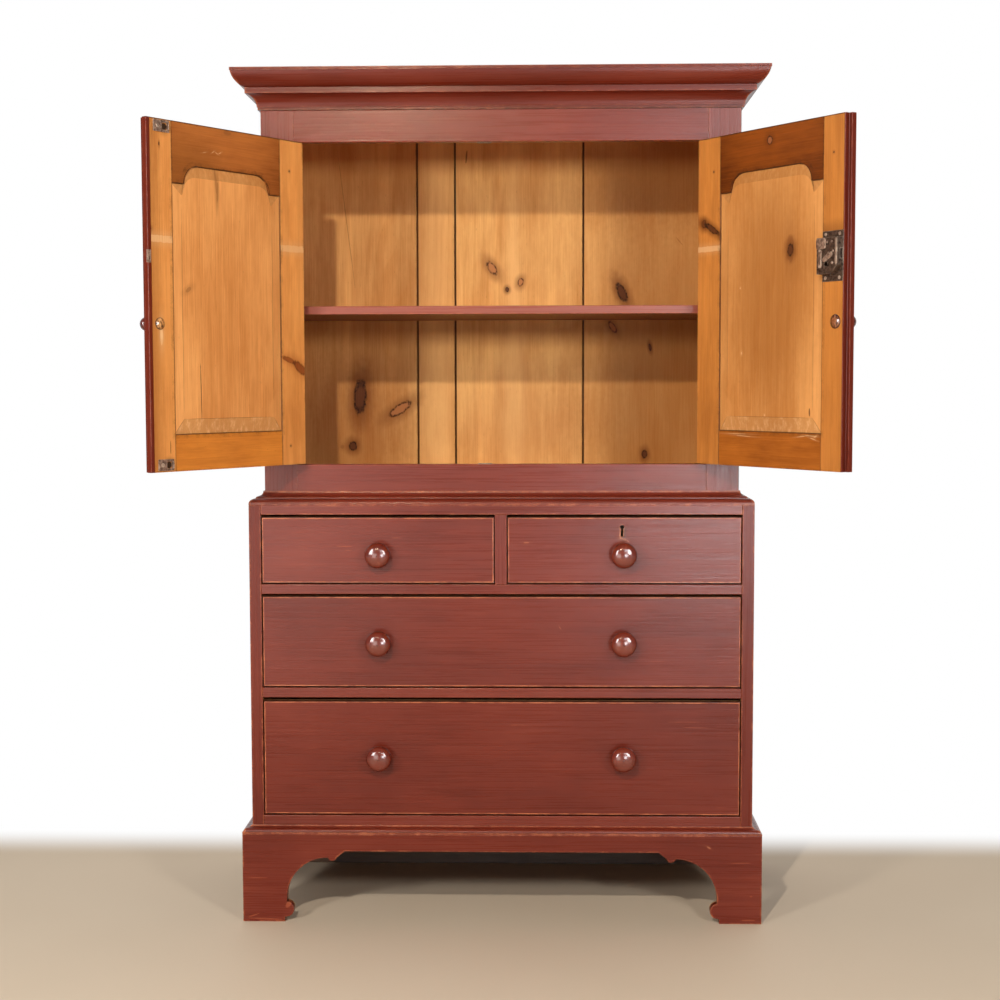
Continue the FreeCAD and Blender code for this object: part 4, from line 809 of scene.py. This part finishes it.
# %% Drawer fronts with eased arrises
FRONT_EASED, SAME_PLACE = 0.0018, 1e-5
DRAWER_SHINE, FRONT_SHIFT = (0.36, 0.36, 0.32, 0.26), 1.3
DRAWER_CHIPS = {
    "left_short": (
        ("scuff", -330, 804, 18, 0.8, 2), ("scuff", -322, 796, 9, 0.6), ("scuff", -220, 822, 10, 0.6),
    ),
    "right_short": (
        ("chip", 54, 812, 6, 1.5), ("chip", 268, 815, 3, 1.0, 40), ("chip", 252, 828, 3, 9),
        # The keyhole is darkened with painted shade.
        ("chip", 258, 820, 7, 2.4, 20), ("painted_hole_shade", 257.5, 838, 4.2, 4.4), ("painted_hole_shade", 258, 829, 3.4, 7.5),
    ),
    "middle": (("chip", 125, 631, 3, 0.8, 60), ("scuff", 330, 560, 20, 0.5)),
    "bottom": (
        ("scuff", 390, 430, 40, 0.5), ("scuff", 410, 418, 34, 0.5, 1), ("chip", -230, 214, 4, 1),
    ),
}


def eased_front(drawer, material):
    """A drawer front with its four front arrises rounded. It is a merged copy of the CAD board, in which only
    the edges of the face's outline carry a bevel weight, so that knob holes and keyhole stay crisp."""
    name = f"{drawer}_drawer_front"
    mesh = press[name].data.copy()
    work = bmesh.new()
    work.from_mesh(mesh)
    bmesh.ops.remove_doubles(work, verts=work.verts, dist=2 * SAME_PLACE)
    bmesh.ops.dissolve_limit(work, angle_limit=FLAT_ANGLE, verts=work.verts, edges=work.edges)
    work.to_mesh(mesh)
    work.free()
    points = np.empty(3 * len(mesh.vertices))
    mesh.vertices.foreach_get("co", points)
    pairs = np.empty(2 * len(mesh.edges), int)
    mesh.edges.foreach_get("vertices", pairs)
    ends = points.reshape(-1, 3)[pairs.reshape(-1, 2)]
    low, high = np.array(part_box(name))
    on_face = (ends[:, :, 1] < low[1] + SAME_PLACE).all(1)
    on_rim = [(abs(ends[:, :, k] - limit[k]) < SAME_PLACE).all(1) for k in (0, 2) for limit in (low, high)]
    weight = (on_face & np.any(on_rim, axis=0)).astype(np.float32)
    mesh.attributes.new("bevel_weight_edge", "FLOAT", "EDGE").data.foreach_set("value", weight)
    mesh.materials.clear()
    mesh.materials.append(material)
    piece = put(f"{drawer}_eased_front", mesh)
    soft = piece.modifiers.new("eased_arris", "BEVEL")
    soft.width, soft.segments, soft.limit_method = FRONT_EASED, 3, "WEIGHT"
    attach(piece, f"{drawer}_drawer")
    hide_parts(name)
    print(piece.name, "with", int(weight.sum()), "eased edges")


print(sum(map(len, DRAWER_CHIPS.values())), "chips on the drawers")

# %% Dress the drawers
# The paint of the middle and bottom drawers is darker, most on the bottom one.
for number, (drawer, chips) in enumerate(DRAWER_CHIPS.items()):
    shift = (0, number * FRONT_SHIFT, 0)
    node = f"{drawer}_drawer_front"
    eased_front(drawer, board(
        f"{drawer}_front_finish", "X", front=front_of(node, 0.012), shift=shift, chips=chips,
        deep=0.08 * max(0, number - 1), shine=DRAWER_SHINE[number],
        outline=[(corner.x, corner.z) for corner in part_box(node)],
    ))
    clad(f"{drawer}_drawer_box", f"{drawer}_box_finish", "Y", eased=0, shift=shift)

# %% [markdown]
# ## Turned knobs
# The knobs came off a lathe, so each is a half outline spun about its axis. The outline is made of arcs, as
# the turner's gouge leaves it. CAD has the same knob, but in flat facets, so these finer ones replace it.

# %% Surfaces from arrays
SAME_POINT = 1e-6


def mesh_piece(name, sheets, material, body, replaced=()):
    """One mesh from sheets of points, each (rows, columns, 3) and closed across its columns. Rows that shrink
    to one point close the ends."""
    corners, faces, start = [], [], 0
    for sheet in sheets:
        rows, columns = sheet.shape[:2]
        index = start + np.arange(rows * columns).reshape(rows, columns)
        across = np.roll(index, -1, axis=1)
        faces.append(np.stack([index[:-1], across[:-1], across[1:], index[1:]], -1).reshape(-1, 4))
        corners.append(sheet.reshape(-1, 3))
        start += rows * columns
    mesh = bpy.data.meshes.new(name)
    mesh.from_pydata(np.concatenate(corners).tolist(), [], np.concatenate(faces).tolist())
    work = bmesh.new()
    work.from_mesh(mesh)
    bmesh.ops.remove_doubles(work, verts=work.verts, dist=SAME_POINT)
    bmesh.ops.recalc_face_normals(work, faces=work.faces)
    work.to_mesh(mesh)
    work.free()
    mesh.shade_smooth()
    mesh.set_sharp_from_angle(angle=ARRIS_ANGLE)
    mesh.materials.append(material)
    piece = put(name, mesh)
    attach(piece, body)
    if replaced:
        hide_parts(*replaced)


def lathe(outline, centre, axis, steps=56):
    """A half outline of (radius, reach) spun about an axis, with u and v square to it:
    centre + reach * axis + radius * (cos * u + sin * v)."""
    axis = np.array(axis, float)
    u = np.cross(axis, (0.0, 0.0, 1.0) if abs(axis[2]) < 0.9 else (1.0, 0.0, 0.0))
    u /= np.linalg.norm(u)
    v = np.cross(axis, u)
    angle = np.linspace(0, 2 * np.pi, steps, endpoint=False)
    rim = np.cos(angle)[:, None] * u + np.sin(angle)[:, None] * v
    outline = np.array(outline)
    return np.array(centre) + outline[:, 1, None, None] * axis + outline[:, 0, None, None] * rim


def arc(start, end, at_radius=None, at_reach=None, count=9):
    """Points of a circle from start to end. Its centre has the given radius or reach, as far from one as from
    the other."""
    (r0, h0), (r1, h1) = start, end
    if at_radius is None:
        at_radius = (r1**2 - r0**2 + (h1 - at_reach) ** 2 - (h0 - at_reach) ** 2) / (2 * (r1 - r0))
    else:
        at_reach = (h1**2 - h0**2 + (r1 - at_radius) ** 2 - (r0 - at_radius) ** 2) / (2 * (h1 - h0))
    first, last = (math.atan2(h - at_reach, r - at_radius) for r, h in (start, end))
    turn = (last - first + math.pi) % (2 * math.pi) - math.pi
    angle = first + turn * np.linspace(0, 1, count)
    radius = math.hypot(r0 - at_radius, h0 - at_reach)
    return np.stack([at_radius + radius * np.cos(angle), at_reach + radius * np.sin(angle)], -1).tolist()


print("lathe ready")

# %% Knob outlines
DIMPLE, DIMPLE_RIM, DIMPLE_SLOPE, DIMPLE_DEEP = 0.0016, 0.00005, 0.0009, 0.0011


def knob_outline(shank, through, foot, foot_high, neck, neck_at, brim, brim_at, crown, crown_at, reach):
    """A knob's half outline in metres: shank, foot, hollow neck, round brim and a crown with a dimple."""
    points = [(0, 0), (shank, 0), (shank, through), (foot, through), (foot, through + foot_high)]
    points += arc(points[-1], (neck, through + neck_at), at_reach=through + neck_at)[1:]
    points += arc(points[-1], (brim, through + brim_at), at_radius=neck)[1:]
    points += arc(points[-1], (crown, through + crown_at), at_reach=through + brim_at)[1:]
    points += arc(points[-1], (DIMPLE, through + reach - DIMPLE_RIM), at_radius=0)[1:]
    return points + [(DIMPLE * 0.6, through + reach - DIMPLE_SLOPE), (0, through + reach - DIMPLE_DEEP)]


DRAWER_KNOB = knob_outline(
    shank=0.009, through=0.020, foot=0.0165, foot_high=0.0034, neck=0.0127, neck_at=0.011,
    brim=0.0275, brim_at=0.0236, crown=0.0175, crown_at=0.0390, reach=0.042,
)
DOOR_KNOB = knob_outline(
    shank=0.008, through=0.028, foot=0.0082, foot_high=0.002, neck=0.0062, neck_at=0.007,
    brim=0.0135, brim_at=0.0146, crown=0.0075, crown_at=0.0242, reach=0.026,
)
print(len(DRAWER_KNOB), "points on a drawer knob's outline,", len(DOOR_KNOB), "on a door knob's")

# %% Knob finish
VARNISH = {"Specular IOR Level": 0.1, "Coat Weight": 1.0, "Coat Roughness": 0.17, "Coat IOR": 1.65}


def knob_finish(name, hung=None, bare=None):
    """Varnished paint, with dirt and painted shade in its hollows. On a drawer, painted shade darkens it
    where its surface turns side-on, at and under the brim. On a door the paint is darker and the inner end is
    bare wood, darker near the door's face.
    """
    made, draw, shader = new_material(name)
    spot = draw.add("TexCoord").outputs
    where = spot["Object"]
    coat = draw.use(paint, place=draw.place(where, turn=ALONG["X"], scale=(1.6, 1.6, 3)))
    edge = draw.use(wear_and_shade, place=where, reach=0.003)
    rub = draw.ease(draw.noise(where, (90, 90, 90), 4, 0.6), 0.56, 0.7)
    colour = draw.mix(draw.times(rub, 0.3), coat["Color"], tint(150, 72, 40))
    # Dirt and painted shade in the knob's hollows.
    colour = draw.mix(draw.times(edge["Dirt"], 0.8), colour, GRIME_AND_SHADE)
    if hung:
        inward = draw.split(draw.place(where, *hung, back=True))[1]
        figure = draw.noise(where, (300, 300, 120), 3)
        wood = draw.mix(draw.ease(figure, 0.3, 0.7), bare, SEAM)
        wood = draw.mix(draw.ease(inward, INNER_FACE + 0.0012, INNER_FACE + 0.0034), GRIME_AND_SHADE, wood)
        colour = draw.mix(0.5, colour, GRIME_AND_SHADE)
        colour = draw.mix(draw.ease(inward, INNER_FACE - 0.001, INNER_FACE), colour, wood)
    else:
        # Painted shade where the knob's surface turns side-on, at and under the brim.
        rim = draw.ease(draw.split(spot["Normal"])[1], -0.6, -0.05, 0.0, 0.75)
        colour = draw.mix(rim, colour, GRIME_AND_SHADE)
    draw.give(shader.inputs, base_color=colour, roughness=draw.ease(rub, 0.0, 1.0, 0.26, 0.38))
    for socket, value in VARNISH.items():
        shader.inputs[socket].default_value = value
    draw.relief(draw.noise(where, (160, 160, 160), 3), 0.15, 0.0002, shader)
    return made


knob_paint = knob_finish("knob_finish")
print(knob_paint.name, "ready")

# %% Knobs on the drawers
KNOB_X = 0.259
for drawer, places in (
    ("left_short", (-KNOB_X,)), ("right_short", (KNOB_X,)),
    ("middle", (-KNOB_X, KNOB_X)), ("bottom", (-KNOB_X, KNOB_X)),
):
    low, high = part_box(f"{drawer}_drawer_knobs")
    middle = (low.z + high.z) / 2
    sheets = [lathe(DRAWER_KNOB, (x, high.y, middle), (0, -1, 0)) for x in places]
    mesh_piece(
        f"{drawer}_turned_knobs", sheets, knob_paint, f"{drawer}_drawer",
        [f"{drawer}_drawer_knobs"],
    )
    print(drawer, "knobs at height", round(middle, 4))


# %% Knobs on the doors
def door_place(hand, points):
    """Points of a closed door (across from the pin, inward from the face, up) as the open door holds them."""
    (x, y, _), (_, _, turn), (flip, _, _) = HUNG[hand]
    across, inward, up = np.moveaxis(np.asarray(points, float), -1, 0)
    across = across * flip
    return np.stack([
        x + math.cos(turn) * across - math.sin(turn) * inward,
        y + math.sin(turn) * across + math.cos(turn) * inward,
        up,
    ], -1)


DOOR_KNOB_AT = (0.40925, INNER_FACE + 0.006, 1.2624)
BUTTON = {"left": 0.0115, "right": 0.0135}
BARE_END = {"left": tint(226, 162, 96), "right": tint(164, 100, 60)}
for hand, hung in HUNG.items():
    wide = BUTTON[hand]
    button = arc((0, 0), (wide, 0.0046), at_radius=0) + [(wide, 0.006)]
    sheet = door_place(hand, lathe(button + DOOR_KNOB[2:], DOOR_KNOB_AT, (0, -1, 0), 40))
    finish = knob_finish(f"{hand}_door_knob_finish", hung, BARE_END[hand])
    mesh_piece(
        f"{hand}_door_turned_knob", [sheet], finish, f"{hand}_door", [f"{hand}_door_knob"],
    )
    print(hand, "door knob", len(sheet), "rings")

# %% [markdown]
# ## Iron
# The lock, its keep, the catches and the hinges are plain iron, brown with old rust and rubbed bright on
# their edges. The shapes are CAD; the finish mixes dark skin, rust and bare metal by noise and edge wear.

# %% Dress the ironwork
def iron_finish(name, dark, light, rust_share):
    """Metal with a dark skin, rust in patches and bright rubbed edges."""
    made, draw, shader = new_material(name)
    where = draw.add("TexCoord").outputs["Object"]
    edge = draw.use(wear_and_shade, place=where, reach=0.0015)
    skin = draw.noise(where, (140, 140, 140), 4, 0.6)
    rust = draw.ease(draw.noise(where, (320, 320, 320), 4, 0.65), 0.42, 0.62)
    colour = draw.mix(draw.ease(skin, 0.3, 0.7), dark, light)
    colour = draw.mix(draw.times(rust, rust_share), colour, tint(112, 66, 36))
    colour = draw.mix(draw.times(edge["Worn"], 0.75), colour, tint(206, 186, 164))
    rough, metal = (draw.ease(rust, 0.0, 1.0, *span) for span in ((0.34, 0.62), (0.8, 0.3)))
    draw.give(shader.inputs, base_color=colour, roughness=rough, metallic=metal)
    draw.relief(draw.math("ADD", skin, rust), 0.4, 0.0006, shader)
    return made


IRON_EASED = 0.0003
iron = iron_finish("rusted_iron", tint(38, 30, 24), tint(92, 78, 66), 0.4)
pale_iron = iron_finish("rubbed_iron", tint(92, 72, 60), tint(176, 148, 128), 0.35)
black_iron = iron_finish("black_iron", tint(22, 18, 14), tint(40, 32, 26), 0.3)
dress(
    "left_door_hinge_leaves right_door_hinge_leaves hinge_frame_leaves hinge_pins catch_strikes"
    " door_lock_plate door_lock_case drawer_lock_case drawer_lock_bolt", iron, IRON_EASED,
)
dress("left_door_catch_plates door_lock_keep", pale_iron, IRON_EASED)
dress("door_lock_bolt", black_iron, IRON_EASED)
print("ironwork dressed")

# %% [markdown]
# ## Studs, screws and the lock's cover
# The door lock is held together by small round studs, and a raised cap and a lever sit on its case. Its
# plate and the catch plates are screwed to the door. Such parts could be cylinders; here each is an outline
# pulled up in rings towards its middle, so a stud gets its dome and a plate its rounded edge.

# %% Stamped shapes
# Rings from the foot up: how wide each is, as a share of the outline, and how high, as a share of the height.
STUD = ((0, 0), (1, 0), (1, 0.35), (0.86, 0.75), (0.5, 0.95), (0, 1))
PLATE = ((0, 0), (1, 0), (1, 0.6), (0.95, 0.95), (0.85, 1), (0, 1))
DISC = ((0, 0), (1, 0), (1, 0.3), (0, 0.3))
HALF_DISC = ((0, 0), (1, 0), (1, 0.7), (0.9, 1), (0, 1))
SLOT_SHARE, SCREW_HIGH = 0.12, 0.0009


def stamped(outline, middle, rings, base, high):
    """Rings of one outline: middle + share * (outline - middle), each at the depth base + rise * high."""
    share, rise = np.array(rings).T
    flat = np.array(middle) + share[:, None, None] * (np.array(outline) - middle)
    deep = np.broadcast_to((base + rise * high)[:, None], flat.shape[:2])
    return np.stack([flat[..., 0], deep, flat[..., 1]], -1)


def leaned(x, z, lean, middle):
    """A flat outline turned by an angle and moved to its middle."""
    cos, sin = math.cos(lean), math.sin(lean)
    return np.stack([x * cos - z * sin, x * sin + z * cos], -1) + middle


def rounded(middle, half_wide, half_high, power=2.0, lean=0.0, count=28):
    """A closed outline |x / a|^n + |z / b|^n = 1, turned by lean: a circle for n = 2, a soft box for 6."""
    angle = np.linspace(0, 2 * np.pi, count, endpoint=False)
    x = half_wide * np.sign(np.cos(angle)) * abs(np.cos(angle)) ** (2 / power)
    z = half_high * np.sign(np.sin(angle)) * abs(np.sin(angle)) ** (2 / power)
    return leaned(x, z, lean, middle)


def stud(middle, radius, base, high):
    """A round head: straight for a third of its height, then a dome."""
    return stamped(rounded(middle, radius, radius, count=18), middle, STUD, base, high)


def plate(middle, half_wide, half_high, base, high, power=6.0, lean=0.0):
    """A flat piece with soft corners and a rounded upper edge."""
    return stamped(rounded(middle, half_wide, half_high, power, lean), middle, PLATE, base, high)


def screw(middle, radius, base, lean):
    """A slotted screw head: two half discs, a slot's width apart, over a thin full disc."""
    slot = SLOT_SHARE * radius
    sheets = [stamped(rounded(middle, radius, radius, count=24), middle, DISC, base, SCREW_HIGH)]
    angle = np.linspace(-np.pi / 2, np.pi / 2, 12)
    x, z = slot + (radius - slot) * np.cos(angle), radius * np.sin(angle)
    for turn in (lean, lean + np.pi):
        half = leaned(x, z, turn, middle)
        sheets.append(stamped(half, half.mean(0), HALF_DISC, base, SCREW_HIGH))
    return sheets


print("stamped shapes ready")

# %% Lock and catch fittings
CASE_TOP, PLATE_TOP = INNER_FACE + 0.017, INNER_FACE + 0.002
LOCK_STUDS = (
    (0.4150, 1.4110), (0.4190, 1.3935), (0.4165, 1.3715),
    (0.4030, 1.4105), (0.3835, 1.3955), (0.3835, 1.3660),
)
PLATE_SCREWS = (
    ((0.3830, 1.4265), 0.6), ((0.4205, 1.4265), 1.9), ((0.3830, 1.3445), 2.4), ((0.4205, 1.3445), 0.2),
)
lock_sheets = [
    plate((0.3865, 1.4085), 0.0125, 0.0105, CASE_TOP, 0.0022),
    plate((0.3835, 1.3800), 0.0042, 0.0170, CASE_TOP, 0.0016),
    plate((0.4040, 1.3830), 0.0145, 0.0052, CASE_TOP, 0.0013, 3.0, 0.5),
    plate((0.4262, 1.3925), 0.0022, 0.0250, CASE_TOP, 0.0012),
    stud((0.4085, 1.3885), 0.0036, CASE_TOP + 0.001, 0.0028),
]
for middle in LOCK_STUDS:
    lock_sheets.append(stud(middle, 0.0023, CASE_TOP + 0.0004, 0.0018))
for middle, lean in PLATE_SCREWS:
    lock_sheets += screw(middle, 0.0033, PLATE_TOP, lean)
lock_sheets = [door_place("right", sheet) for sheet in lock_sheets]
mesh_piece("door_lock_fittings", lock_sheets, pale_iron, "right_door")

catch_sheets = []
for height, lean in ((0.9924, 0.4), (1.6354, 1.3)):
    catch_sheets += screw((0.4085, height), 0.0040, PLATE_TOP, lean)
catch_sheets = [door_place("left", sheet) for sheet in catch_sheets]
mesh_piece("catch_plate_screws", catch_sheets, pale_iron, "left_door")
print(len(lock_sheets), "sheets on the lock,", len(catch_sheets), "on the catch plates")

# %% [markdown]
# ## The last look
# The box round everything that the dressed press shows is printed.

# %% Print the visual box
low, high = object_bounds()
print("visual box", low[:], "to", high[:])
